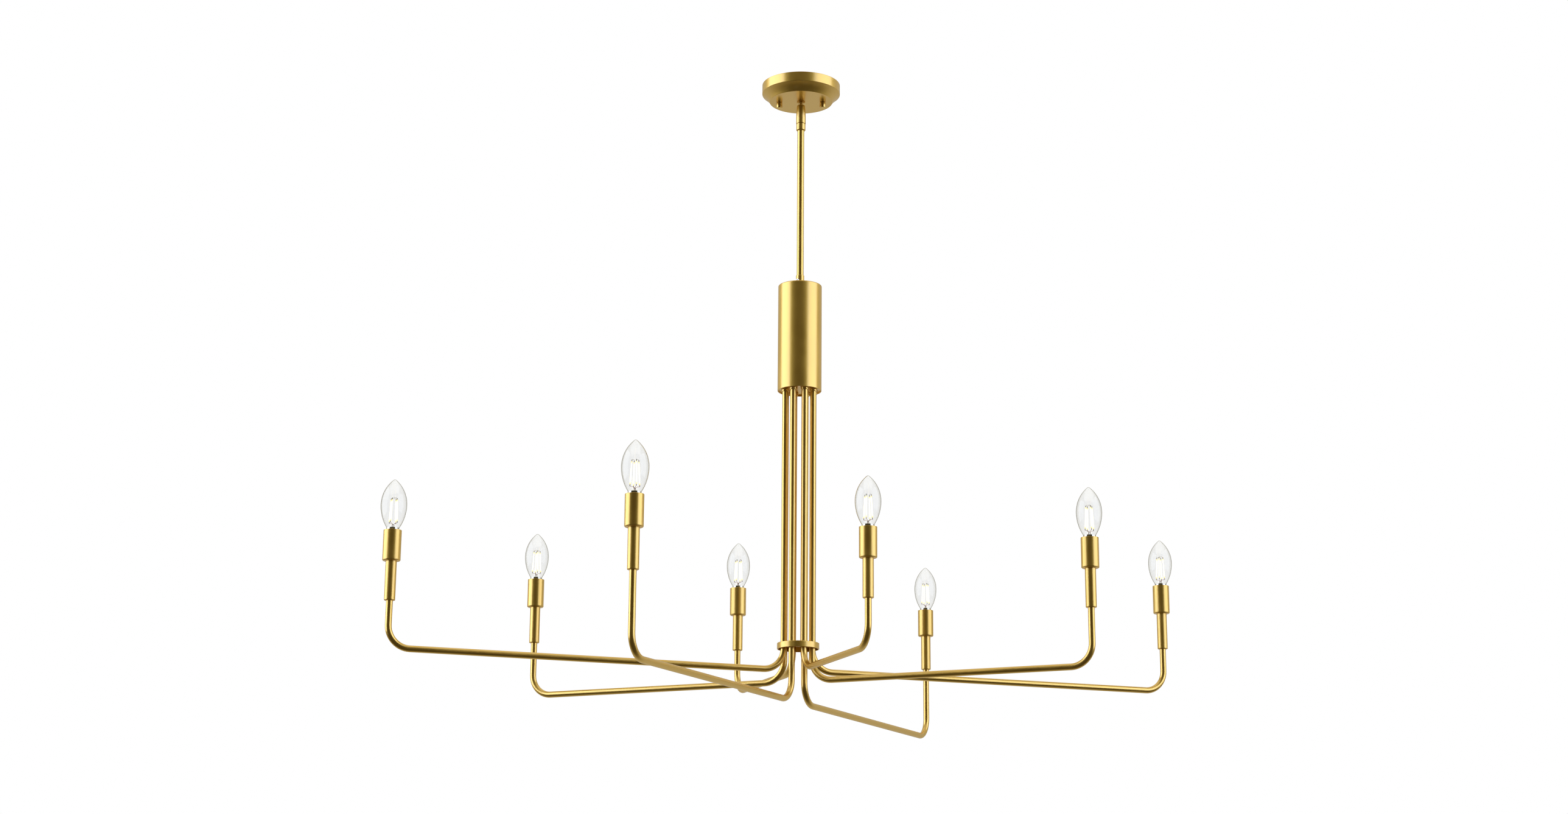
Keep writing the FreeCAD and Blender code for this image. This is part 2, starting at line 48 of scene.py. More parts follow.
import bpy
from bpy.props import FloatProperty, FloatVectorProperty, IntProperty, PointerProperty
from bpy.types import Operator, Panel, PropertyGroup
from mathutils import Matrix, Vector

bl_info = {
    "name": "Multi Arm Chandelier",
    "version": (1, 0, 0),
    "blender": (4, 5, 0),
    "location": "View3D > Sidebar > Chandelier",
    "description": "Builds a satin brass chandelier with eight candle arms on its working frame",
    "category": "Object",
}

# All sizes are metres, +Z is up, and z = 0 is the ceiling.
MM = 0.001
WELD = 0.001 * MM
FULL_TURN = 2 * math.pi
CLEARANCE = 0.05 * MM
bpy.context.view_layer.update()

# How finely round pieces are cut: sides of a turned piece, by its size, and steps of an edge's arc
FINE_SIDES = 144
MIDDLE_SIDES = 72
SMALL_SIDES = 40
WIRE_SIDES = 12
EDGE_STEPS = 4
SMOOTH_ANGLE = math.radians(32)
CHAMFER_SLOPE = math.tan(math.radians(30))


# --- what the frame says ---

def upright(node):
    """Centre, radius and levels of a round CAD node that stands upright."""
    low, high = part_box(node)
    return SimpleNamespace(x=(low.x + high.x) / 2, y=(low.y + high.y) / 2,
                           radius=(high.x - low.x) / 2, low=low.z, high=high.z)


def hinge_place(joint_name):
    return next(Vector(j["pos_m"]) for j in frame["joints"] if j["name"] == joint_name)


CANOPY = upright("canopy_shell")
BALL_STUD = upright("ball_stud")
SWIVEL = upright("swivel_body")
COUPLER = upright("rod_coupler")
ROD = upright("down_rod")
ROD_COLLAR = upright("rod_collar")
DRUM = upright("drum_shell")
PLATE = upright("drum_base_plate")
POST = upright("centre_post")
SPACER = upright("spacer_ring")
BALL_LEVEL = hinge_place("swivel_tilt_x").z
ARMS = range(1, sum(name.startswith("arm_tube_") for name in frame["nodes"]) + 1)
CUPS = {arm: upright("cup_%d" % arm) for arm in ARMS}
PIVOTS = {arm: hinge_place("arm_%d_swing" % arm) for arm in ARMS}
TUBE_CIRCLE = PIVOTS[1].to_2d().length
ARM_TURNS = {arm: math.atan2(PIVOTS[arm].y, PIVOTS[arm].x) for arm in ARMS}
REACHES = {arm: math.hypot(cup.x, cup.y) for arm, cup in CUPS.items()}
CUP = CUPS[1]
SLEEVE = upright("sleeve_1")
SOCKET = upright("socket_1")
BULB = upright("bulb_1")
COLLAR_LEVELS = upright("tube_collars")


# --- settings ---

def length(name, description, millimetres):
    return FloatProperty(name=name, description=description, default=millimetres * MM,
                         min=0.0, unit="LENGTH", precision=5)


def share(name, description, default, top=1.0):
    return FloatProperty(name=name, description=description, default=default, min=0.0, max=top)


def angle(name, description, degrees):
    return FloatProperty(name=name, description=description, default=math.radians(degrees),
                         subtype="ANGLE")


def power(name, description, default):
    return FloatProperty(name=name, description=description, default=default, min=0.0, unit="POWER")


def colour(name, description, default):
    return FloatVectorProperty(name=name, description=description, default=default,
                               min=0.0, max=1.0, size=3, subtype="COLOR")


class ChandelierCeilingSizes(PropertyGroup):
    sheet: length("Sheet", "Thickness of the canopy's and drum's spun sheet", 1.2)
    rim_height: length("Rim height", "Height of the canopy's upright rim", 14.0)
    face_radius: length("Face radius", "Radius of the canopy's flat face", 46.2)
    cove: length("Cove", "How far the slope between rim and face bows in", 0.9)
    stem_radius: length("Stem radius", "Radius of the threaded stem above the ball", 4.9)
    stem_bore: length("Stem bore", "Radius of the wire hole through the stem", 1.6)
    neck_radius: length("Neck radius", "Radius of the neck between collar and ball", 2.2)
    ball_radius: length("Ball radius", "Radius of the swivel's ball", 4.4)
    mouth_radius: length("Mouth radius", "Radius of the swivel body's open top", 4.6)
    stud_radius: length("Stud radius", "Radius of the canopy's threaded studs", 2.0)
    stud_hole: length("Stud hole", "Radius of the studs' holes in the canopy", 2.4)
    nut_bore: length("Nut bore", "Radius of the bore in each cap nut", 2.05)
    head_radius: length("Head radius", "Radius of the coupler's head inside the swivel", 5.3)
    head_height: length("Head height", "Height of the coupler's head", 2.0)
    head_neck: length("Head neck", "Radius of the coupler's neck under its head", 4.4)
    wire_bore: length("Wire bore", "Radius of the wire hole through swivel and coupler", 2.5)
    rod_depth: length("Rod depth", "How far the rod goes up into the coupler", 8.0)


class ChandelierHubSizes(PropertyGroup):
    rod_wall: length("Rod wall", "Wall of the down rod", 1.0)
    drum_edge: length("Drum edge", "Radius of the drum's rounded upper edge", 1.6)
    drum_top_wall: length("Drum top", "Thickness of the drum's top", 1.5)
    post_bore: length("Post bore", "Radius of the wire hole in the drum's post", 2.5)
    post_thread: length("Post thread", "Length of the thread at the post's foot", 10.0)
    window_radius: length("Window radius", "Radius of the post's side window", 2.2)
    window_drop: length("Window drop", "Window's middle, below the drum's top", 22.0)
    rod_nut: length("Rod nut", "Nut on the rod inside the drum, across its flats", 16.0)
    post_nut: length("Post nut", "Nut at the post's foot, across its flats", 13.0)
    nut_height: length("Nut height", "Height of the nuts in the drum", 4.0)
    flange_radius: length("Flange radius", "Radius of each tube collar's flange", 6.3)
    collar_radius: length("Collar radius", "Radius of each tube collar below its flange", 5.7)
    spigot_radius: length("Spigot radius", "Radius of each tube collar inside the plate", 5.3)
    spacer_wall: length("Spacer wall", "Wall of the spacer ring, which is hollow underneath", 1.5)


class ChandelierArmSizes(PropertyGroup):
    tube_radius: length("Tube radius", "Outer radius of the arm tubes", 4.5)
    tube_wall: length("Tube wall", "Wall of the arm tubes", 1.0)
    bend_radius: length("Bend radius", "Radius of each bend along the tube's middle", 30.0)
    cup_wall: length("Cup wall", "Wall of the candle cups", 1.1)
    cup_floor: length("Cup floor", "Thickness of the candle cups' floor", 1.8)
    cup_edge: length("Cup edge", "Radius of the cups' rounded lower edge", 1.7)
    sleeve_wall: length("Sleeve wall", "Wall of the sleeves under the cups", 1.2)
    sleeve_edge: length("Sleeve edge", "Radius of the sleeves' rounded lower edge", 1.1)


class ChandelierBulbSizes(PropertyGroup):
    glass_wall: length("Glass wall", "Thickness of the bulb's glass", 0.7)
    foot: length("Glass foot", "Height of the glass's foot above the cup's rim", 3.0)
    widest: length("Widest level", "Height of the glass's widest point above the rim", 34.5)
    shoulder_arc: length("Shoulder arc", "Radius of the outline below the widest point", 59.0)
    taper_arc: length("Taper arc", "Radius of the outline above the widest point", 44.4)
    tip_radius: length("Tip radius", "Radius of the glass's rounded tip", 2.8)
    skirt_radius: length("Skirt radius", "Radius of the metal skirt under the glass", 8.6)
    skirt_height: length("Skirt height", "Height of the metal skirt", 5.1)
    base_wall: length("Base wall", "Thickness of the metal base's sheet", 0.35)
    screw_length: length("Screw length", "Length of the base's thread", 14.0)
    socket_depth: length("Socket depth", "Depth of the socket's bore below the cup's rim", 27.0)
    screw_radius: length("Screw radius", "Outer radius of the base's thread", 5.95)
    thread_pitch: length("Thread pitch", "Rise of the base's thread in one turn", 2.54)
    filaments: IntProperty(name="Filaments", description="Glowing strips in each bulb",
                           default=4, min=1, max=8)
    filament_radius: length("Filament radius", "Radius of a glowing strip", 0.8)
    filament_low: length("Filament low end", "Height of a strip's low end above the rim", 12.0)
    filament_high: length("Filament high end", "Height of a strip's high end above the rim", 41.0)
    spread_low: length("Low spread", "Distance of the low ends from the bulb's axis", 6.2)
    spread_high: length("High spread", "Distance of the high ends from the bulb's axis", 4.6)


class ChandelierFinishes(PropertyGroup):
    brass: colour("Brass", "Satin brass of the fitting", (0.86, 0.555, 0.085))
    brass_pale: colour("Pale brass", "Brass where its lacquer is thinner", (0.88, 0.58, 0.105))
    brass_edge: colour("Brass edge", "Brass where an edge is rubbed bright", (0.92, 0.66, 0.17))
    # Painted shade: this darker brass is mixed into creases and grooves, where shade falls.
    brass_crease_shade: colour("Brass crease", "Brass down in a groove", (0.55, 0.30, 0.035))
    brass_roughness: share("Brass roughness", "How soft the brass's reflections are", 0.37)
    steel: colour("Steel", "Zinc plated steel of the hidden hardware", (0.60, 0.60, 0.58))
    nickel: colour("Nickel", "Plating of the bulbs' bases", (0.72, 0.71, 0.68))
    copper: colour("Copper", "Sealed wires in the bulb's glass stem", (0.80, 0.28, 0.16))
    solder: colour("Solder", "End contacts of the bulbs' bases", (0.55, 0.55, 0.56))
    clear_glass: colour("Clear glass", "Tint of the bulbs' glass", (0.985, 0.99, 0.99))
    stem_glass: colour("Stem glass", "Tint of the stem in each bulb", (0.95, 0.965, 0.96))
    phenolic: colour("Phenolic", "Moulded body of the sockets", (0.035, 0.03, 0.028))
    nylon: colour("Nylon", "Liner round the ball", (0.80, 0.78, 0.70))
    glow: colour("Glow", "Light of the filaments", (1.0, 0.86, 0.52))
    glow_strength: share("Glow strength", "Brightness of the filaments", 1.35, 20.0)


class ChandelierStudio(PropertyGroup):
    lens: FloatProperty(name="Lens", description="Focal length on a 36 mm wide sensor",
                        default=54.967, min=10.0, unit="CAMERA")
    distance: length("Camera distance", "Level distance from the hanging axis", 3332.1)
    below: length("Camera drop", "How far the camera is below the ceiling", 1319.8)
    azimuth: angle("Camera azimuth", "Where the camera stands", 2.01)
    heading: angle("Camera heading", "Turn of the view to the left", 2.39)
    pitch: angle("Camera pitch", "Upward tilt of the view", 13.97)
    roll: angle("Camera roll", "Turn of the frame about the view", 0.398)
    left_power: power("Left softbox", "Power of the left softbox", 84.0)
    right_power: power("Right softbox", "Power of the right softbox", 70.0)
    top_power: power("Overhead panel", "Power of the overhead panel", 15.0)
    floor_drop: length("Floor", "How far the floor is below the ceiling", 6000.0)


SETTINGS = {"ceiling": ChandelierCeilingSizes, "hub": ChandelierHubSizes, "arm": ChandelierArmSizes,
            "bulb": ChandelierBulbSizes, "finish": ChandelierFinishes, "studio": ChandelierStudio}


def settings(name):
    return getattr(bpy.context.scene, "chandelier_" + name)


# --- outlines: lists of (radius, height) points, before they are spun about the Z axis ---

def rounded(corners, steps=EDGE_STEPS, closed=True):
    """Outline points from (radius, height, edge radius) corners, with each edge turned as an arc."""
    points = []
    count = len(corners)
    for index, (radius, height, edge) in enumerate(corners):
        here = Vector((radius, height))
        if edge == 0 or (not closed and index in (0, count - 1)):
            points.append((radius, height))
            continue
        before = (Vector(corners[index - 1][:2]) - here).normalized()
        after = (Vector(corners[(index + 1) % count][:2]) - here).normalized()
        half = before.angle(after) / 2
        centre = here + (before + after).normalized() * (edge / math.sin(half))
        first = here + before * (edge / math.tan(half)) - centre
        last = here + after * (edge / math.tan(half)) - centre
        turn = math.atan2(first.x * last.y - first.y * last.x, first.dot(last))
        start = math.atan2(first.y, first.x)
        points += arc((centre.x, centre.y), edge, start, start + turn, steps)
    return points


def arc(centre, radius, start, end, steps):
    """Points of an arc from one angle to another, both ends included."""
    turns = [start + (end - start) * step / steps for step in range(steps + 1)]
    return [(centre[0] + radius * math.cos(turn), centre[1] + radius * math.sin(turn))
            for turn in turns]


def bowed(start, end, sag, steps):
    """Points between two others on an arc that bows by sag to the right, or to the left below 0."""
    chord = Vector(end) - Vector(start)
    radius = chord.length_squared / (8 * sag) + sag / 2
    side = Vector((chord.y, -chord.x)).normalized()
    centre = (Vector(start) + Vector(end)) / 2 + side * (sag - radius)
    first = Vector(start) - centre
    last = Vector(end) - centre
    turn = math.atan2(first.x * last.y - first.y * last.x, first.dot(last))
    begin = math.atan2(first.y, first.x)
    return arc(centre, abs(radius), begin, begin + turn, steps)[1:-1]


def threaded(radius, depth, pitch, start, end):
    """Crests and roots of a fine thread between two heights."""
    turns = max(1, round(abs(end - start) / pitch))
    rise = (end - start) / turns
    points = []
    for turn in range(turns):
        points += [(radius, start + rise * (turn + 0.25)),
                   (radius - depth, start + rise * (turn + 0.75))]
    return points


def ring_outline(inner, outer, low, high, low_edge, high_edge):
    return rounded([(inner, low, 0), (outer, low, low_edge), (outer, high, high_edge),
                    (inner, high, 0)])


# --- modelling ---

def deselect():
    if bpy.context.object and bpy.context.object.mode != "OBJECT":
        bpy.ops.object.mode_set(mode="OBJECT")
    bpy.ops.object.select_all(action="DESELECT")


def edit(piece):
    deselect()
    piece.select_set(True)
    bpy.context.view_layer.objects.active = piece
    bpy.ops.object.mode_set(mode="EDIT")
    bpy.ops.mesh.select_all(action="SELECT")


def weld_and_smooth(piece):
    """Close seams and poles, point the faces outwards and smooth all but sharp edges."""
    edit(piece)
    bpy.ops.mesh.remove_doubles(threshold=WELD)
    bpy.ops.mesh.delete_loose()
    bpy.ops.mesh.select_all(action="SELECT")
    bpy.ops.mesh.normals_make_consistent(inside=False)
    bpy.ops.object.mode_set(mode="OBJECT")
    bpy.ops.object.shade_smooth_by_angle(angle=SMOOTH_ANGLE)
    return piece


def draw_chain(name, points):
    """A chain of edges through 3-D points, drawn by extruding one vertex."""
    deselect()
    bpy.ops.mesh.primitive_plane_add(size=MM)
    piece = bpy.context.object
    piece.name = name
    bpy.ops.object.mode_set(mode="EDIT")
    bpy.ops.mesh.select_all(action="SELECT")
    bpy.ops.mesh.merge(type="CENTER")
    bpy.ops.transform.translate(value=points[0])
    for here, there in zip(points, points[1:]):
        step = Vector(there) - Vector(here)
        bpy.ops.mesh.extrude_vertices_move(TRANSFORM_OT_translate={"value": step})
    bpy.ops.mesh.select_all(action="SELECT")
    bpy.ops.mesh.remove_doubles(threshold=WELD)
    return piece


def supported(path, reach=0.8 * MM):
    """Add a point near both ends of each long run, so that smooth shading keeps its edges crisp."""
    points = path[:1]
    for here, there in zip(path, path[1:]):
        run = Vector(there) - Vector(here)
        if run.length > 3 * reach:
            step = run * (reach / run.length)
            points += [tuple(Vector(here) + step), tuple(Vector(there) - step)]
        points.append(there)
    return points


def spun(name, outline, sides=MIDDLE_SIDES, x=0.0, y=0.0):
    """Spin a half outline about the Z axis. One that ends on the axis is left open there."""
    on_axis = outline[0][0] == 0 and outline[-1][0] == 0
    path = supported(outline if on_axis else outline + outline[:1])
    piece = draw_chain(name, [(radius, 0, height) for radius, height in path])
    bpy.ops.mesh.select_all(action="SELECT")
    bpy.ops.mesh.spin(steps=sides, angle=FULL_TURN, center=(0, 0, 0), axis=(0, 0, 1))
    weld_and_smooth(piece)
    return moved(piece, Matrix.Translation((x, y, 0)))


def moved(piece, matrix):
    """Move a finished piece's mesh, and leave its object at the origin."""
    piece.data.transform(matrix)
    piece.data.update()
    return piece


def copied(piece, name, matrix):
    """A copy with its own mesh, in its own place."""
    other = piece.copy()
    other.data = piece.data.copy()
    other.name = name
    other.data.name = name
    bpy.context.collection.objects.link(other)
    return moved(other, matrix)


def apply_modifier(piece, kind, **values):
    deselect()
    piece.select_set(True)
    bpy.context.view_layer.objects.active = piece
    modifier = piece.modifiers.new(kind.title(), kind)
    for key, value in values.items():
        setattr(modifier, key, value)
    bpy.ops.object.modifier_apply(modifier=modifier.name)


def cut(piece, tool, operation="DIFFERENCE"):
    """Cut a piece with another, or keep only what both hold, and drop the other."""
    apply_modifier(piece, "BOOLEAN", operation=operation, object=tool, solver="EXACT")
    bpy.data.objects.remove(tool)
    return weld_and_smooth(piece)


def bar(sides, radius, depth, place, rotation=(0, 0, 0)):
    """A straight bar to cut with or to shape further."""
    deselect()
    bpy.ops.mesh.primitive_cylinder_add(vertices=sides, radius=radius, depth=depth,
                                        location=place, rotation=rotation)
    return bpy.context.object


def bored(piece, places, radius, low, high):
    """Drill upright round holes through a piece."""
    for x, y in places:
        cut(piece, bar(SMALL_SIDES, radius, high - low, (x, y, (low + high) / 2)))
    return piece


def joined(pieces, name):
    deselect()
    for piece in pieces:
        piece.select_set(True)
    bpy.context.view_layer.objects.active = pieces[0]
    bpy.ops.object.join()
    whole = bpy.context.object
    whole.name = name
    return whole


def wire(name, points, radius, bend=0.0):
    """A round wire through points, with its corners rounded by bend."""
    piece = draw_chain(name, points)
    if bend > 0:
        bpy.ops.mesh.select_all(action="SELECT")
        bpy.ops.mesh.bevel(offset=bend, segments=4, affect="VERTICES")
    bpy.ops.object.mode_set(mode="OBJECT")
    bpy.ops.object.convert(target="CURVE")
    curve = bpy.context.object
    curve.data.bevel_depth = radius
    curve.data.bevel_resolution = 2
    curve.data.use_fill_caps = True
    bpy.ops.object.convert(target="MESH")
    return weld_and_smooth(bpy.context.object)


def hex_nut(name, across_flats, bore, low, high):
    """A six sided nut on the Z axis, with chamfered ends and a bore."""
    corner = across_flats / math.sqrt(3)
    nut = bar(6, corner, high - low, (0, 0, (low + high) / 2))
    bpy.ops.object.transform_apply(location=True)
    nut.name = name
    flat = across_flats / 2
    drop = (corner - flat) * CHAMFER_SLOPE
    outline = [(0, low), (flat, low), (corner, low + drop), (corner, high - drop), (flat, high),
               (0, high)]
    cut(nut, spun(name + "_blank", outline, SMALL_SIDES), "INTERSECT")
    return bored(nut, [(0, 0)], bore, low - MM, high + MM)


def finish(piece, body, material, node):
    """Give a new piece its finish, its CAD body and the CAD node that it stands for."""
    piece.data.materials.clear()
    piece.data.materials.append(material_named(material))
    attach(piece, body)
    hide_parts(node)


def finish_node(name, material):
    """Give a CAD node that stays in sight a better material."""
    for slot in frame["nodes"][name].material_slots:
        slot.material = material_named(material)


# --- materials ---

def feed(tree, node, inputs):
    """Link or set a node's inputs."""
    for key, value in inputs.items():
        if isinstance(value, bpy.types.NodeSocket):
            tree.links.new(value, node.inputs[key])
        else:
            node.inputs[key].default_value = value


def add(tree, kind, inputs, **options):
    """Add a node, set its options, and link or set its inputs."""
    node = tree.nodes.new(kind)
    for key, value in options.items():
        setattr(node, key, value)
    feed(tree, node, inputs)
    return node


def calculate(tree, operation, first, second, third=0.0):
    return add(tree, "ShaderNodeMath", {0: first, 1: second, 2: third},
               operation=operation).outputs[0]


def mix(tree, factor, first, second):
    """Mix two colours; a plain colour is given as three numbers."""
    def whole(value):
        return value if isinstance(value, bpy.types.NodeSocket) else (*value, 1.0)
    node = add(tree, "ShaderNodeMix", {0: factor, 6: whole(first), 7: whole(second)},
               data_type="RGBA", clamp_factor=True)
    return node.outputs[2]


def spread(tree, value, low, high, to_low=0.0, to_high=1.0):
    """Map one range on to another, smoothly, and hold the ends."""
    return add(tree, "ShaderNodeMapRange", {0: value, 1: low, 2: high, 3: to_low, 4: to_high},
               interpolation_type="SMOOTHSTEP").outputs[0]


def new_group(name, inputs, outputs):
    """An empty node group with named sockets, given as (name, kind, default)."""
    group = bpy.data.node_groups.new(name, "ShaderNodeTree")
    for socket, kind, default in inputs:
        made = group.interface.new_socket(name=socket, in_out="INPUT", socket_type=kind)
        if default is not None:
            made.default_value = default
    for socket, kind in outputs:
        group.interface.new_socket(name=socket, in_out="OUTPUT", socket_type=kind)
    return group, group.nodes.new("NodeGroupInput"), group.nodes.new("NodeGroupOutput")


def surface_grain_group():
    """Fine grain, slow patches and tiny specks over a surface."""
    group, given, made = new_group(
        "surface_grain",
        [("Vector", "NodeSocketVector", None), ("Grain Size", "NodeSocketFloat", 0.0005),
         ("Patch Size", "NodeSocketFloat", 0.05), ("Stretch", "NodeSocketFloat", 1.0)],
        [("Height", "NodeSocketFloat"), ("Patch", "NodeSocketFloat"),
         ("Speck", "NodeSocketFloat")])
    one = 1.0
    grain_scale = calculate(group, "DIVIDE", one, given.outputs["Grain Size"])
    patch_scale = calculate(group, "DIVIDE", one, given.outputs["Patch Size"])
    stretch = add(group, "ShaderNodeCombineXYZ",
                  {0: 1.0, 1: 1.0, 2: given.outputs["Stretch"]}).outputs[0]
    along = add(group, "ShaderNodeVectorMath", {0: given.outputs["Vector"], 1: stretch},
                operation="MULTIPLY").outputs[0]
    grain = add(group, "ShaderNodeTexNoise",
                {"Vector": along, "Scale": grain_scale, "Detail": 3.0, "Roughness": 0.6})
    patch = add(group, "ShaderNodeTexNoise",
                {"Vector": given.outputs["Vector"], "Scale": patch_scale, "Detail": 4.0,
                 "Roughness": 0.55, "Distortion": 0.4})
    cells = add(group, "ShaderNodeTexVoronoi",
                {"Vector": given.outputs["Vector"],
                 "Scale": calculate(group, "MULTIPLY", grain_scale, 0.12)})
    speck = spread(group, cells.outputs["Distance"], 0.05, 0.16, 1.0, 0.0)
    group.links.new(grain.outputs["Fac"], made.inputs["Height"])
    group.links.new(spread(group, patch.outputs["Fac"], 0.32, 0.68), made.inputs["Patch"])
    group.links.new(speck, made.inputs["Speck"])
    return group


def edge_wear_and_crease_shade_group():
    """Where a surface turns outwards sharply, for rubbed edges, and where it folds in, for painted shade
    in creases.
    """
    group, given, made = new_group(
        "edge_wear_and_crease_shade",
        [("Vector", "NodeSocketVector", None), ("Amount", "NodeSocketFloat", 1.0)],
        [("Edge", "NodeSocketFloat"), ("Crease Shade", "NodeSocketFloat")])
    bend = group.nodes.new("ShaderNodeNewGeometry").outputs["Pointiness"]
    rub = add(group, "ShaderNodeTexNoise",
              {"Vector": given.outputs["Vector"], "Scale": 350.0, "Detail": 3.0})
    edge = calculate(group, "MULTIPLY", spread(group, bend, 0.555, 0.62),
                     spread(group, rub.outputs["Fac"], 0.25, 0.6))
    group.links.new(calculate(group, "MULTIPLY", edge, given.outputs["Amount"]),
                    made.inputs["Edge"])
    # The crease mask is painted shade: it is high where the surface folds in, and darkens the colour
    # there.
    group.links.new(calculate(group, "MULTIPLY", spread(group, bend, 0.485, 0.44),
                              given.outputs["Amount"]), made.inputs["Crease Shade"])
    return group


def blank_material(name):
    material = bpy.data.materials.new(name)
    material.use_nodes = True
    tree = material.node_tree
    shader = tree.nodes["Principled BSDF"]
    place = tree.nodes.new("ShaderNodeTexCoord").outputs["Object"]
    return material, tree, shader, place


def grouped(tree, name, build, inputs):
    """Place a shared node group in a material, and build it the first time."""
    group = bpy.data.node_groups.get(name) or build()
    node = tree.nodes.new("ShaderNodeGroup")
    node.node_tree = group
    feed(tree, node, inputs)
    return node.outputs


def grain(tree, place, grain_size, patch_size, stretch=1.0):
    return grouped(tree, "surface_grain", surface_grain_group,
                   {"Vector": place, "Grain Size": grain_size, "Patch Size": patch_size,
                    "Stretch": stretch})


# Masks for rubbed edges and for painted shade in creases.
def worn_edges_and_crease_shade(tree, place, amount=1.0):
    return grouped(tree, "edge_wear_and_crease_shade", edge_wear_and_crease_shade_group, {"Vector": place, "Amount": amount})


def bump(tree, height, strength, distance):
    return add(tree, "ShaderNodeBump",
               {"Height": height, "Strength": strength, "Distance": distance}).outputs[0]


def connect(tree, shader, **links):
    for name, value in links.items():
        tree.links.new(value, shader.inputs[name.replace("_", " ")])


def brass_material(name, roughness_shift=0.0, patch_size=0.06, stretch=1.0, rubbing=1.0):
    """Satin brass under a clear lacquer."""
    look = settings("finish")
    material, tree, shader, place = blank_material(name)
    surface = grain(tree, place, 0.45 * MM, patch_size, stretch)
    rubbed_and_crease_shade = worn_edges_and_crease_shade(tree, place, rubbing)
    base = mix(tree, surface["Patch"], look.brass, look.brass_pale)
    # Painted shade: the brass turns darker where the surface folds into creases and grooves.
    base = mix(tree, rubbed_and_crease_shade["Crease Shade"], base, look.brass_crease_shade)
    base = mix(tree, calculate(tree, "MULTIPLY", rubbed_and_crease_shade["Edge"], 0.55), base, look.brass_edge)
    rough = spread(tree, surface["Patch"], 0.0, 1.0, look.brass_roughness + roughness_shift - 0.025,
                   look.brass_roughness + roughness_shift + 0.03)
    rough = calculate(tree, "MULTIPLY_ADD", rubbed_and_crease_shade["Edge"], -0.06, rough)
    rough = calculate(tree, "MULTIPLY_ADD", surface["Speck"], 0.05, rough)
    connect(tree, shader, Base_Color=base, Roughness=rough,
            Normal=bump(tree, surface["Height"], 0.05, 0.02 * MM))
    shader.inputs["Metallic"].default_value = 1.0
    shader.inputs["Coat Weight"].default_value = 1.0
    shader.inputs["Coat Roughness"].default_value = 0.22
    shader.inputs["Coat IOR"].default_value = 2.0
    shader.inputs["Specular Tint"].default_value = (1.0, 0.84, 0.45, 1.0)
    return material


def plated_material(name, tint, roughness, patch_size=0.01, variation=0.08):
    """Plated or bare metal with faint mottling."""
    base_colour = getattr(settings("finish"), tint)
    material, tree, shader, place = blank_material(name)
    surface = grain(tree, place, 0.25 * MM, patch_size)
    rubbed_and_crease_shade = worn_edges_and_crease_shade(tree, place)
    darker = tuple(channel * (1 - 2 * variation) for channel in base_colour)
    brighter = tuple(min(1.0, channel * 1.15) for channel in base_colour)
    base = mix(tree, surface["Patch"], base_colour, darker)
    base = mix(tree, calculate(tree, "MULTIPLY", rubbed_and_crease_shade["Edge"], 0.5), base, brighter)
    rough = spread(tree, surface["Patch"], 0.0, 1.0, roughness - variation / 2,
                   roughness + variation / 2)
    connect(tree, shader, Base_Color=base, Roughness=rough,
            Normal=bump(tree, surface["Height"], 0.12, 0.02 * MM))
    shader.inputs["Metallic"].default_value = 1.0
    return material


def moulded_material(name, tint, roughness):
    """Moulded plastic with a fine texture."""
    base_colour = getattr(settings("finish"), tint)
    material, tree, shader, place = blank_material(name)
    surface = grain(tree, place, 0.2 * MM, 0.008)
    rubbed_and_crease_shade = worn_edges_and_crease_shade(tree, place)
    lighter = tuple(min(1.0, channel * 1.4 + 0.01) for channel in base_colour)
    base = mix(tree, calculate(tree, "MULTIPLY", surface["Patch"], 0.5), base_colour, lighter)
    base = mix(tree, calculate(tree, "MULTIPLY", rubbed_and_crease_shade["Edge"], 0.4), base, lighter)
    rough = spread(tree, surface["Patch"], 0.0, 1.0, roughness - 0.06, roughness + 0.06)
    connect(tree, shader, Base_Color=base, Roughness=rough,
            Normal=bump(tree, surface["Height"], 0.2, 0.03 * MM))
    return material


def glass_material(name, tint, dust_roughness):
    """Clear blown glass with faint waviness and a little dust."""
    clear = getattr(settings("finish"), tint)
    material, tree, shader, place = blank_material(name)
    surface = grain(tree, place, 2.5 * MM, 0.02)
    base = mix(tree, surface["Patch"], clear, tuple(channel * 0.992 for channel in clear))
    rough = spread(tree, surface["Patch"], 0.55, 1.0, 0.0, dust_roughness)
    connect(tree, shader, Base_Color=base, Roughness=rough,
            Normal=bump(tree, surface["Patch"], 0.05, 0.05 * MM))
    shader.inputs["Metallic"].default_value = 0.0
    shader.inputs["Transmission Weight"].default_value = 1.0
    shader.inputs["IOR"].default_value = 1.46
    return material


def glow_material(name):
    """Lit phosphor: white hot along the strip and more yellow towards its ends."""
    look = settings("finish")
    bulb = settings("bulb")
    material, tree, shader, place = blank_material(name)
    height = add(tree, "ShaderNodeSeparateXYZ", {0: place}).outputs["Z"]
    middle = CUP.high + (bulb.filament_low + bulb.filament_high) / 2
    half = (bulb.filament_high - bulb.filament_low) / 2
    along = calculate(tree, "ABSOLUTE", calculate(tree, "SUBTRACT", height, middle), 0.0)
    end = spread(tree, along, half - 3.5 * MM, half)
    grains = grain(tree, place, 0.3 * MM, 0.002)
    light = mix(tree, calculate(tree, "MULTIPLY", grains["Patch"], 0.25), (1.0, 0.95, 0.80), look.glow)
    light = mix(tree, end, light, (0.95, 0.62, 0.16))
    connect(tree, shader, Emission_Color=light, Base_Color=mix(
        tree, grains["Patch"], (0.90, 0.74, 0.24), (0.95, 0.80, 0.34)))
    shader.inputs["Emission Strength"].default_value = look.glow_strength
    shader.inputs["Roughness"].default_value = 0.6
    return material


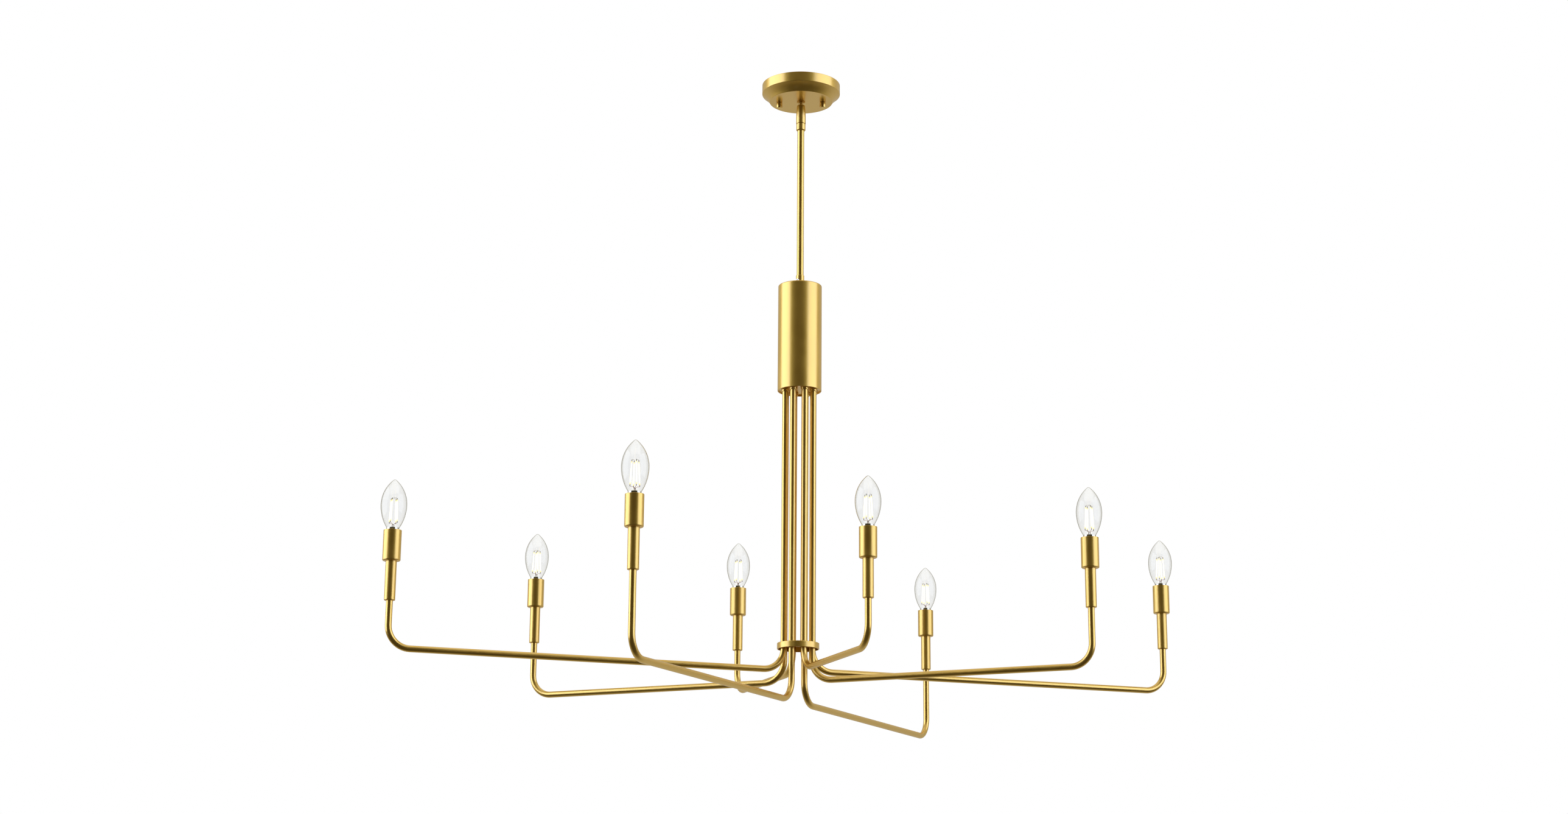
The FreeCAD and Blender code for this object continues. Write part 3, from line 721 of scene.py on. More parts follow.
# Each finish: the record's slot that it belongs to, what makes it, and its values.
FINISHES = {
    "lacquered_brass": ("satin_brass", brass_material, {}),
    "tube_brass": ("satin_brass", brass_material, {"roughness_shift": -0.07, "patch_size": 0.045,
                                                   "stretch": 0.5, "rubbing": 0.0}),
    "turned_brass": ("satin_brass", brass_material, {"roughness_shift": -0.12, "patch_size": 0.02}),
    "zinc_steel": ("steel", plated_material, {"tint": "steel", "roughness": 0.34}),
    "nickel": ("steel", plated_material, {"tint": "nickel", "roughness": 0.12, "patch_size": 0.006,
                                          "variation": 0.04}),
    "solder": ("steel", plated_material, {"tint": "solder", "roughness": 0.42, "patch_size": 0.002,
                                          "variation": 0.10}),
    "copper": ("steel", plated_material, {"tint": "copper", "roughness": 0.35, "patch_size": 0.002,
                                          "variation": 0.06}),
    "phenolic": ("socket_body", moulded_material, {"tint": "phenolic", "roughness": 0.45}),
    "nylon": ("liner_nylon", moulded_material, {"tint": "nylon", "roughness": 0.4}),
    "clear_glass": ("bulb_glass", glass_material, {"tint": "clear_glass", "dust_roughness": 0.03}),
    "stem_glass": ("bulb_glass", glass_material, {"tint": "stem_glass", "dust_roughness": 0.05}),
    "phosphor": (None, glow_material, {}),
}


def material_named(name):
    """Each finish is made once, the first time that a piece asks for it."""
    slot, maker, values = FINISHES[name]
    return bpy.data.materials.get(name) or maker(name, **values)


# --- pieces ---

class CHANDELIER_OT_canopy(Operator):
    """Spin the canopy dish: upright rim, bowed slope and flat face"""
    bl_idname = "chandelier.canopy"
    bl_label = "Canopy"

    def execute(self, context):
        size = settings("ceiling")
        sheet = size.sheet
        rim_low = CANOPY.high - size.rim_height
        slope_start = (CANOPY.radius, rim_low)
        slope_end = (size.face_radius, CANOPY.low)
        inner_start = (size.face_radius - 0.6 * sheet, CANOPY.low + sheet)
        inner_end = (CANOPY.radius - sheet, rim_low + 0.4 * sheet)
        hole = size.stem_radius + 8 * CLEARANCE
        outline = rounded([(CANOPY.radius - sheet, CANOPY.high, 0.3 * MM),
                           (CANOPY.radius, CANOPY.high, 0.3 * MM),
                           (*slope_start, 0.7 * MM),
                           *[(*point, 0.0) for point in bowed(slope_start, slope_end, size.cove, 10)],
                           (*slope_end, 0.8 * MM),
                           (hole, CANOPY.low, 0.2 * MM), (hole, CANOPY.low + sheet, 0.2 * MM),
                           (*inner_start, 0.0),
                           *[(*point, 0.0) for point in bowed(inner_end, inner_start,
                                                              size.cove, 10)[::-1]],
                           (*inner_end, 0.0)])
        canopy = spun("canopy_dish", outline, FINE_SIDES)
        studs = [(upright(node).x, upright(node).y) for node in ("canopy_nut_1", "canopy_nut_2")]
        bored(canopy, studs, size.stud_hole, CANOPY.low - MM, CANOPY.low + 2 * sheet)
        finish(canopy, "ceiling", "lacquered_brass", "canopy_shell")
        return {"FINISHED"}


class CHANDELIER_OT_canopy_nuts(Operator):
    """Turn the two round cap nuts on the canopy's face"""
    bl_idname = "chandelier.canopy_nuts"
    bl_label = "Canopy nuts"

    def execute(self, context):
        bore = settings("ceiling").nut_bore
        for node in ("canopy_nut_1", "canopy_nut_2"):
            nut = upright(node)
            neck = nut.radius - 0.5 * MM
            bore_end = nut.low + 1.5 * MM
            outline = rounded([(0, bore_end, 0), (bore, bore_end, 0), (bore, nut.high, 0.15 * MM),
                               (neck, nut.high, 0.15 * MM), (neck, nut.high - 0.8 * MM, 0),
                               (nut.radius, nut.high - 0.8 * MM, 0.2 * MM),
                               (nut.radius, nut.low, 0.9 * MM), (0, nut.low, 0)],
                              closed=False)
            piece = spun(node.replace("canopy_nut", "cap_nut"), outline, x=nut.x, y=nut.y)
            finish(piece, node, "turned_brass", node)
        return {"FINISHED"}


class CHANDELIER_OT_ceiling_hardware(Operator):
    """Finish the bar, nut, studs and ground screw behind the canopy"""
    bl_idname = "chandelier.ceiling_hardware"
    bl_label = "Ceiling hardware"

    def execute(self, context):
        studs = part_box("canopy_studs")
        radius = settings("ceiling").stud_radius
        rods = []
        for side in (-1, 1):
            x = side * (studs[1].x - radius)
            outline = ([(0, studs[0].z), (radius - 0.4 * MM, studs[0].z)]
                       + threaded(radius, 0.35 * MM, 0.7 * MM, studs[0].z, studs[1].z)
                       + [(radius - 0.4 * MM, studs[1].z), (0, studs[1].z)])
            rods.append(spun("stud", outline, SMALL_SIDES, x))
        finish(joined(rods, "threaded_studs"), "ceiling", "zinc_steel", "canopy_studs")
        nut = upright("stud_nut")
        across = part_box("stud_nut")[1].y * 2
        piece = hex_nut("stem_nut", across, settings("ceiling").stem_radius + CLEARANCE,
                        nut.low, nut.high)
        finish(piece, "ceiling", "zinc_steel", "stud_nut")
        for name in ("mounting_bar", "ground_screw"):
            finish_node(name, "zinc_steel")
        finish_node("ball_liner", "nylon")
        return {"FINISHED"}


class CHANDELIER_OT_ball_stud(Operator):
    """Turn the hollow stem with its collar, neck and ball"""
    bl_idname = "chandelier.ball_stud"
    bl_label = "Ball stud"

    def execute(self, context):
        size = settings("ceiling")
        collar = BALL_STUD.radius
        shoulder = CANOPY.low
        collar_low = shoulder - 2.4 * MM
        meets = math.asin(size.neck_radius / size.ball_radius)
        leaves = math.pi - math.asin(size.stem_bore / size.ball_radius)
        ball = arc((0, BALL_LEVEL), size.ball_radius, math.pi / 2 - meets,
                   math.pi / 2 - leaves, 16)
        outline = ([(size.stem_bore, BALL_STUD.high), (size.stem_radius - 0.4 * MM, BALL_STUD.high)]
                   + threaded(size.stem_radius, 0.35 * MM, 0.9 * MM, BALL_STUD.high, shoulder)
                   + [(size.stem_radius, shoulder), (collar - 0.8 * MM, shoulder),
                      (collar, shoulder - 0.9 * MM), (collar, collar_low + 0.5 * MM),
                      (collar - 0.5 * MM, collar_low), (size.neck_radius, collar_low)]
                   + ball)
        finish(spun("ball_and_stem", outline), "ceiling", "turned_brass", "ball_stud")
        return {"FINISHED"}


class CHANDELIER_OT_swivel(Operator):
    """Turn the swivel body, hollow round its ball, and the coupler that turns under it"""
    bl_idname = "chandelier.swivel"
    bl_label = "Swivel"

    def execute(self, context):
        size = settings("ceiling")
        low, high, radius = SWIVEL.low, SWIVEL.high, SWIVEL.radius
        head = SimpleNamespace(radius=size.head_radius, high=COUPLER.high,
                               low=COUPLER.high - size.head_height)
        neck = size.head_neck
        bore = size.wire_bore
        gap = 0.3 * MM
        cavity = size.ball_radius + 0.95 * MM
        cone_low = size.neck_radius + 0.35 * MM
        slope = (size.mouth_radius - cone_low) / (high - BALL_LEVEL)
        rise = ((math.sqrt((1 + slope ** 2) * cavity ** 2 - cone_low ** 2) - slope * cone_low)
                / (1 + slope ** 2))
        top_turn = math.asin(rise / cavity)
        low_turn = -math.acos(bore / cavity)
        shoulder = rounded([(size.mouth_radius, high, 0.15 * MM),
                            (size.mouth_radius + 1.1 * MM, high, 0.8 * MM),
                            (radius - 1.0 * MM, high - 2.2 * MM, 0)], closed=False)
        belly = bowed((radius - 1.0 * MM, high - 2.2 * MM), (radius, high - 20 * MM), -0.25 * MM, 8)
        inside = [(neck + CLEARANCE, low), (neck + CLEARANCE, head.low - gap),
                  (head.radius + gap, head.low - gap), (head.radius + gap, head.high + gap),
                  (bore, head.high + gap)]
        outline = (shoulder + belly
                   + rounded([(radius, high - 20 * MM, 0), (radius, low, 0.35 * MM),
                              (neck + CLEARANCE, low, 0)], closed=False)[:-1]
                   + inside
                   + arc((0, BALL_LEVEL), cavity, low_turn, top_turn, 16))
        finish(spun("swivel_shell", outline), "swivel", "lacquered_brass", "swivel_body")
        top = low - 0.4 * MM
        rod_hole = ROD.radius + CLEARANCE
        rod_end = COUPLER.low + size.rod_depth
        outline = rounded([(bore, head.high, 0), (head.radius, head.high, 0.2 * MM),
                           (head.radius, head.low, 0), (neck, head.low, 0), (neck, top, 0),
                           (COUPLER.radius, top, 0.35 * MM),
                           (COUPLER.radius, COUPLER.low + 1.2 * MM, 0.3 * MM),
                           (COUPLER.radius - 1.2 * MM, COUPLER.low, 0.2 * MM),
                           (rod_hole, COUPLER.low, 0), (rod_hole, rod_end, 0), (bore, rod_end, 0)])
        finish(spun("coupler_body", outline), "stem", "lacquered_brass", "rod_coupler")
        return {"FINISHED"}


class CHANDELIER_OT_rod(Operator):
    """Draw the down rod, and turn its collar with the set screw"""
    bl_idname = "chandelier.rod"
    bl_label = "Down rod and collar"

    def execute(self, context):
        wall = settings("hub").rod_wall
        outline = ring_outline(ROD.radius - wall, ROD.radius, ROD.low, ROD.high, 0.2 * MM, 0.2 * MM)
        finish(spun("hanging_rod", outline), "stem", "tube_brass", "down_rod")
        outline = ring_outline(ROD.radius + CLEARANCE, ROD_COLLAR.radius, ROD_COLLAR.low,
                               ROD_COLLAR.high, 0.15 * MM, 0.6 * MM)
        finish(spun("collar_on_rod", outline), "stem", "lacquered_brass", "rod_collar")
        finish(self.set_screw(), "stem", "nickel", "set_screw")
        return {"FINISHED"}

    def set_screw(self):
        low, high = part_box("set_screw")
        middle = (low + high) / 2
        out = Vector((middle.x, middle.y, 0)).normalized()
        radius = (high.z - low.z) / 2
        head_end = ROD_COLLAR.radius + 1.4 * MM
        outline = rounded([(0, ROD.radius + 2 * CLEARANCE, 0), (1.5 * MM, ROD.radius + 2 * CLEARANCE, 0),
                           (1.5 * MM, ROD_COLLAR.radius - 0.5 * MM, 0),
                           (radius, ROD_COLLAR.radius - 0.5 * MM, 0),
                           (radius, head_end, 0.45 * MM), (0, head_end, 0)], closed=False)
        screw = cut(spun("key_screw", outline, SMALL_SIDES),
                    bar(6, 1.35 * MM, 2 * MM, (0, 0, head_end)))
        facing = out.to_track_quat("Z", "Y").to_matrix().to_4x4()
        return moved(screw, Matrix.Translation((0, 0, middle.z)) @ facing)


class CHANDELIER_OT_drum(Operator):
    """Spin the drum with its rounded top edge, and its drilled base plate"""
    bl_idname = "chandelier.drum"
    bl_label = "Drum"

    def execute(self, context):
        size = settings("hub")
        sheet = settings("ceiling").sheet
        rod_hole = ROD.radius + CLEARANCE
        under_top = DRUM.high - size.drum_top_wall
        outline = rounded([(rod_hole, DRUM.high, 0), (DRUM.radius, DRUM.high, size.drum_edge),
                           (DRUM.radius, DRUM.low, 0.45 * MM),
                           (DRUM.radius - sheet, DRUM.low, 0.25 * MM),
                           (DRUM.radius - sheet, under_top, 0), (rod_hole, under_top, 0)])
        finish(spun("drum_body", outline, FINE_SIDES), "stem", "lacquered_brass", "drum_shell")
        outline = rounded([(0, PLATE.high, 0), (PLATE.radius, PLATE.high, 0.2 * MM),
                           (PLATE.radius, PLATE.low, 0.2 * MM), (0, PLATE.low, 0)], closed=False)
        plate = spun("drum_floor", outline, FINE_SIDES)
        places = [pivot.to_2d() for pivot in PIVOTS.values()]
        bored(plate, places, size.spigot_radius + CLEARANCE, PLATE.low - MM, PLATE.high + MM)
        finish(plate, "stem", "lacquered_brass", "drum_base_plate")
        return {"FINISHED"}


class CHANDELIER_OT_hub_fastenings(Operator):
    """Turn the post and nuts inside the drum"""
    bl_idname = "chandelier.hub_fastenings"
    bl_label = "Hub fastenings"

    def execute(self, context):
        size = settings("hub")
        thread_end = PLATE.high + size.post_thread
        outline = ([(size.post_bore, PLATE.high), (POST.radius - 0.4 * MM, PLATE.high)]
                   + threaded(POST.radius, 0.3 * MM, 0.9 * MM, PLATE.high, thread_end)
                   + [(POST.radius, thread_end + 0.5 * MM), (POST.radius, POST.high),
                      (size.post_bore, POST.high)])
        reach = POST.radius + MM
        window = bar(SMALL_SIDES, size.window_radius, reach,
                     (reach / 2, 0, DRUM.high - size.window_drop), (0, math.pi / 2, 0))
        post = cut(spun("hub_post", outline, SMALL_SIDES), window)
        finish(post, "stem", "zinc_steel", "centre_post")
        height = size.nut_height
        under_top = DRUM.high - size.drum_top_wall
        nuts = [hex_nut("nut", size.rod_nut, ROD.radius + CLEARANCE, under_top - height, under_top),
                hex_nut("nut", size.post_nut, POST.radius + CLEARANCE, PLATE.high,
                        PLATE.high + height)]
        finish(joined(nuts, "hub_hex_nuts"), "stem", "zinc_steel", "hub_nuts")
        return {"FINISHED"}


class CHANDELIER_OT_tube_collars(Operator):
    """Turn the bright collar that each tube comes out of"""
    bl_idname = "chandelier.tube_collars"
    bl_label = "Tube collars"

    def execute(self, context):
        size = settings("hub")
        bore = settings("arm").tube_radius + CLEARANCE
        flange_low = PLATE.low - 1.5 * MM
        outline = rounded([(bore, PLATE.high, 0), (size.spigot_radius, PLATE.high, 0.2 * MM),
                           (size.spigot_radius, PLATE.low, 0),
                           (size.flange_radius, PLATE.low, 0.2 * MM),
                           (size.flange_radius, flange_low, 0.5 * MM),
                           (size.collar_radius, flange_low, 0.15 * MM),
                           (size.collar_radius, COLLAR_LEVELS.low, 0.8 * MM),
                           (bore, COLLAR_LEVELS.low, 0)])
        first = spun("tube_collar", outline)
        for arm, pivot in PIVOTS.items():
            place = Matrix.Translation((pivot.x, pivot.y, 0))
            finish(copied(first, "tube_collar_%d" % arm, place), "stem", "turned_brass", "tube_collars")
        bpy.data.objects.remove(first)
        return {"FINISHED"}


class CHANDELIER_OT_spacer(Operator):
    """Spin the spacer ring, hollow underneath, and drill it for the tubes"""
    bl_idname = "chandelier.spacer"
    bl_label = "Spacer ring"

    def execute(self, context):
        wall = settings("hub").spacer_wall
        inner = SPACER.radius - wall
        outline = rounded([(0, SPACER.high, 0), (SPACER.radius, SPACER.high, 0.8 * MM),
                           (SPACER.radius, SPACER.low, 0.3 * MM), (inner, SPACER.low, 0.3 * MM),
                           (inner, SPACER.high - wall, 0.6 * MM), (0, SPACER.high - wall, 0)],
                          closed=False)
        spacer = spun("spacer_disc", outline, FINE_SIDES)
        places = [pivot.to_2d() for pivot in PIVOTS.values()]
        bored(spacer, places, settings("arm").tube_radius + CLEARANCE, SPACER.low - MM,
              SPACER.high + MM)
        finish(spacer, "stem", "lacquered_brass", "spacer_ring")
        return {"FINISHED"}


class CHANDELIER_OT_arms(Operator):
    """Bend the arm tubes: down from the drum, out along a level run and up to the cup"""
    bl_idname = "chandelier.arms"
    bl_label = "Arms"

    def execute(self, context):
        for arm in ARMS:
            piece = joined([self.bent_tube(arm), self.stop_ring()], "arm_%d" % arm)
            moved(piece, Matrix.Rotation(ARM_TURNS[arm], 4, "Z"))
            finish(piece, "arm_%d" % arm, "tube_brass", "arm_tube_%d" % arm)
        return {"FINISHED"}

    def bent_tube(self, arm):
        """Extrude a ring of vertices along the straights and spin it round the bends."""
        size = settings("arm")
        low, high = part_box("arm_tube_%d" % arm)
        run = low.z + size.tube_radius
        top = high.z
        end = CUP.low + size.cup_floor + 6 * MM
        bend = size.bend_radius
        deselect()
        bpy.ops.mesh.primitive_circle_add(vertices=SMALL_SIDES, radius=size.tube_radius,
                                          location=(TUBE_CIRCLE, 0, top))
        bpy.ops.object.transform_apply(location=True)
        tube = bpy.context.object
        edit(tube)
        self.extrude((0, 0, -MM))
        self.extrude((0, 0, run + bend - top + MM))
        self.bend((TUBE_CIRCLE + bend, 0, run + bend))
        self.extrude((REACHES[arm] - TUBE_CIRCLE - 2 * bend, 0, 0))
        self.bend((REACHES[arm] - bend, 0, run + bend))
        self.extrude((0, 0, end - run - bend - MM))
        self.extrude((0, 0, MM))
        weld_and_smooth(tube)
        apply_modifier(tube, "SOLIDIFY", thickness=size.tube_wall, offset=-1.0, use_rim=True)
        return tube

    def extrude(self, step):
        bpy.ops.mesh.extrude_region_move(TRANSFORM_OT_translate={"value": step})

    def bend(self, centre):
        bpy.ops.mesh.spin(steps=14, angle=math.pi / 2, center=centre, axis=(0, 1, 0))

    def stop_ring(self):
        """The ring brazed to the tube inside the drum, which rests on the collar."""
        radius = settings("arm").tube_radius
        low = PLATE.high + 0.3 * MM
        outline = ring_outline(radius - 0.2 * MM, 6 * MM, low, low + 3 * MM, 0.4 * MM, 0.4 * MM)
        return spun("stop_ring", outline, SMALL_SIDES, TUBE_CIRCLE)


class CHANDELIER_OT_candle_ends(Operator):
    """Spin the sleeves, cups and sockets at the arms' ends"""
    bl_idname = "chandelier.candle_ends"
    bl_label = "Sleeves, cups and sockets"

    def execute(self, context):
        first = {"sleeve": self.sleeve(), "cup": self.cup(), "socket": self.socket()}
        looks = {"sleeve": "lacquered_brass", "cup": "lacquered_brass", "socket": "phenolic"}
        for arm in ARMS:
            for kind, piece in first.items():
                made = copied(piece, "candle_%s_%d" % (kind, arm), end_place(arm))
                finish(made, "arm_%d" % arm, looks[kind], "%s_%d" % (kind, arm))
        for piece in first.values():
            bpy.data.objects.remove(piece)
        return {"FINISHED"}

    def sleeve(self):
        size = settings("arm")
        lip = size.tube_radius + CLEARANCE
        inner = SLEEVE.radius - size.sleeve_wall
        floor = SLEEVE.low + 2 * MM
        return spun("sleeve", rounded([
            (lip, SLEEVE.low, 0.3 * MM), (SLEEVE.radius, SLEEVE.low, size.sleeve_edge),
            (SLEEVE.radius, SLEEVE.high, 0), (inner, SLEEVE.high, 0), (inner, floor, 0),
            (lip, floor, 0)]))

    def cup(self):
        size = settings("arm")
        hole = size.tube_radius + CLEARANCE
        inner = CUP.radius - size.cup_wall
        floor = CUP.low + size.cup_floor
        return spun("cup", rounded([
            (hole, CUP.low, 0), (CUP.radius, CUP.low, size.cup_edge),
            (CUP.radius, CUP.high, 0.3 * MM), (inner, CUP.high, 0.3 * MM),
            (inner, floor, 0.8 * MM), (hole, floor, 0)]))

    def socket(self):
        """A moulded socket with a grooved wall, a bore for the base and a hole for its wires."""
        bore = settings("bulb").screw_radius + CLEARANCE
        bore_floor = CUP.high - settings("bulb").socket_depth
        tube_end = SOCKET.low + 6 * MM
        tube_hole = settings("arm").tube_radius + CLEARANCE
        wire_hole = 1.5 * MM
        groove = 0.5 * MM
        wall = [(SOCKET.radius, SOCKET.low)]
        for level in (0.3, 0.6, 0.85):
            z = SOCKET.low + (SOCKET.high - SOCKET.low) * level
            wall += [(SOCKET.radius, z), (SOCKET.radius - groove, z + groove),
                     (SOCKET.radius - groove, z + 2 * groove), (SOCKET.radius, z + 3 * groove)]
        top = rounded([wall[-1] + (0,), (SOCKET.radius, SOCKET.high, 0.6 * MM),
                       (bore, SOCKET.high, 0.4 * MM), (bore, bore_floor, 0)], closed=False)[1:]
        return spun("socket", wall + top + [
            (wire_hole, bore_floor), (wire_hole, tube_end), (tube_hole, tube_end),
            (tube_hole, SOCKET.low)])


def end_place(arm):
    """From the hanging axis out to an arm's upright end."""
    return Matrix.Translation((CUPS[arm].x, CUPS[arm].y, 0)) @ Matrix.Rotation(
        ARM_TURNS[arm], 4, "Z")


def place_in_bulbs(piece, name, material):
    """Copy a piece of the bulb on to every arm."""
    for arm in ARMS:
        made = copied(piece, "%s_%d" % (name, arm), end_place(arm))
        finish(made, "bulb_%d" % arm, material, "bulb_%d" % arm)
    bpy.data.objects.remove(piece)


class CHANDELIER_OT_bulb_glass(Operator):
    """Blow the candle shaped glass, with its wall and its open foot"""
    bl_idname = "chandelier.bulb_glass"
    bl_label = "Bulb glass"

    def execute(self, context):
        outside = self.outline(0.0)
        inside = self.outline(settings("bulb").glass_wall)
        glass = spun("glass", inside[::-1] + outside, FINE_SIDES)
        place_in_bulbs(glass, "bulb_envelope", "clear_glass")
        return {"FINISHED"}

    def outline(self, inset):
        """From the foot up the shoulder, in along the taper and over the rounded tip."""
        size = settings("bulb")
        widest = CUP.high + size.widest
        shoulder = size.shoulder_arc - inset
        shoulder_middle = (BULB.radius - size.shoulder_arc, widest)
        foot_turn = math.asin((size.foot - size.widest) / shoulder)
        taper_middle = BULB.radius - size.taper_arc
        tip_turn = math.acos(-taper_middle / (size.taper_arc - size.tip_radius))
        tip_level = widest + (size.taper_arc - size.tip_radius) * math.sin(tip_turn)
        points = arc(shoulder_middle, shoulder, foot_turn, 0, 20)
        points += arc((taper_middle, widest), size.taper_arc - inset, 0, tip_turn, 24)[1:]
        points += arc((0, tip_level), size.tip_radius - inset, tip_turn, math.pi / 2, 8)[1:]
        return points[:-1] + [(0.0, points[-1][1])]


class CHANDELIER_OT_bulb_base(Operator):
    """Roll the bulb's metal base: skirt, thread and end contact"""
    bl_idname = "chandelier.bulb_base"
    bl_label = "Bulb base"

    def execute(self, context):
        size = settings("bulb")
        foot = CUP.high + size.foot
        skirt_low = foot - size.skirt_height
        screw_high = skirt_low - 2 * MM
        screw_low = screw_high - size.screw_length
        wall = size.base_wall
        crests = threaded(size.screw_radius, 0.45 * MM, size.thread_pitch, screw_high, screw_low)
        crests = rounded([(size.screw_radius - wall, screw_high, 0)]
                         + [(*point, 0.35 * MM) for point in crests]
                         + [(size.screw_radius - wall, screw_low, 0)], 3, closed=False)
        outside = rounded([(size.skirt_radius - wall, foot, 0), (size.skirt_radius, foot, 0.2 * MM),
                           (size.skirt_radius, skirt_low, 0.6 * MM),
                           (size.screw_radius, screw_high, 0)], closed=False)[:-1]
        inside = [(radius - wall, height) for radius, height in (outside + crests)[:0:-1]]
        place_in_bulbs(spun("base", outside + crests + inside), "bulb_base", "nickel")
        insulator = rounded([(0, screw_low, 0), (size.screw_radius - 0.5 * MM, screw_low, 0),
                             (3.6 * MM, screw_low - 2 * MM, 0.3 * MM),
                             (0, screw_low - 2.2 * MM, 0)], closed=False)
        place_in_bulbs(spun("insulator", insulator, SMALL_SIDES), "base_insulator", "phenolic")
        contact = [(0, screw_low - 2.0 * MM), (2.6 * MM, screw_low - 2.0 * MM)]
        contact += bowed(contact[-1], (0, BULB.low), 0.3 * MM, 6) + [(0, BULB.low)]
        place_in_bulbs(spun("contact", contact, SMALL_SIDES), "end_contact", "solder")
        return {"FINISHED"}


# The clips: how far they stand past a strip's ends, their hold on it and their radius
LOW_CLIP, HIGH_CLIP = 2.4 * MM, 2.2 * MM
CLIP_HOLD = 0.8 * MM
CLIP_RADIUS = 0.42 * MM


class CHANDELIER_OT_filaments(Operator):
    """Set the glowing strips on their wires, and the glass stem that carries them"""
    bl_idname = "chandelier.filaments"
    bl_label = "Filaments"

    def execute(self, context):
        size = settings("bulb")
        foot = CUP.high + size.foot
        pinch = Vector((0, 0, foot + 4.5 * MM))
        ends = [self.strip_ends(size, number) for number in range(size.filaments)]
        strips = [self.strip(low, high, size.filament_radius) for low, high in ends]
        place_in_bulbs(joined(strips, "strips"), "filament", "phosphor")
        place_in_bulbs(joined(self.clips(ends), "clips"), "filament_clips", "nickel")
        leads = [self.lead(low, high, pinch) for low, high in ends]
        place_in_bulbs(joined(leads, "leads"), "filament_leads", "copper")
        place_in_bulbs(self.stem(foot, pinch.z), "glass_stem", "stem_glass")
        return {"FINISHED"}

    def strip_ends(self, size, number):
        """Low and high end of a strip, spaced evenly round the bulb's axis."""
        turn = FULL_TURN * (number + 0.5) / size.filaments
        out = Vector((math.cos(turn), math.sin(turn), 0))
        return (out * size.spread_low + Vector((0, 0, CUP.high + size.filament_low)),
                out * size.spread_high + Vector((0, 0, CUP.high + size.filament_high)))

    def clips(self, ends):
        """A metal clip on both ends of each strip, and a bridge from one strip's top to the next."""
        clips = []
        for low, high in ends:
            up = (high - low).normalized()
            clips.append(wire("clip", [low - up * LOW_CLIP, low + up * CLIP_HOLD], CLIP_RADIUS))
            clips.append(wire("clip", [high - up * CLIP_HOLD, high + up * HIGH_CLIP], CLIP_RADIUS))
        crown = ends[0][1].z + HIGH_CLIP + 0.6 * MM
        for first in range(0, len(ends), 2):
            feet = [high + (high - low).normalized() * HIGH_CLIP
                    for low, high in (ends[first], ends[(first + 1) % len(ends)])]
            tops = [Vector((foot.x * 0.8, foot.y * 0.8, crown)) for foot in feet]
            clips.append(wire("bridge", [feet[0], *tops, feet[1]], 0.2 * MM, 0.4 * MM))
        return clips

    def lead(self, low, high, pinch):
        """The wire from a strip's low clip, in and down into the glass stem."""
        side = Vector((math.copysign(0.7 * MM, low.x), 0, 0))
        tail = low - (high - low).normalized() * LOW_CLIP
        knee = Vector((low.x * 0.45, low.y * 0.45, pinch.z + 1.8 * MM))
        return wire("lead", [pinch + side - Vector((0, 0, 3 * MM)), pinch + side, knee, tail],
                    0.22 * MM, 0.8 * MM)

    def strip(self, low, high, radius):
        """A strip with rounded ends, leaning in towards its top."""
        span = (high - low).length
        outline = rounded([(0, 0, 0), (radius, 0, radius * 0.6), (radius, span, radius * 0.6),
                           (0, span, 0)], 3, closed=False)
        piece = spun("strip", outline, WIRE_SIDES)
        turn = (high - low).to_track_quat("Z", "Y").to_matrix().to_4x4()
        return moved(piece, Matrix.Translation(low) @ turn)

    def stem(self, foot, pinch):
        """The flared glass tube that rises from the base and is pinched on the wires."""
        return spun("stem", rounded([
            (0, foot - 1.0 * MM, 0), (1.0 * MM, foot - 1.0 * MM, 0),
            (5.2 * MM, foot - 2.6 * MM, 0.5 * MM), (5.9 * MM, foot - 2.2 * MM, 0.3 * MM),
            (2.3 * MM, foot + 1.0 * MM, 1.5 * MM), (1.9 * MM, pinch - 0.8 * MM, 0.6 * MM),
            (1.0 * MM, pinch + 0.4 * MM, 0.4 * MM), (0, pinch + 0.5 * MM, 0)],
            closed=False), SMALL_SIDES)


# --- stage ---

AIM_LEVEL = -0.55


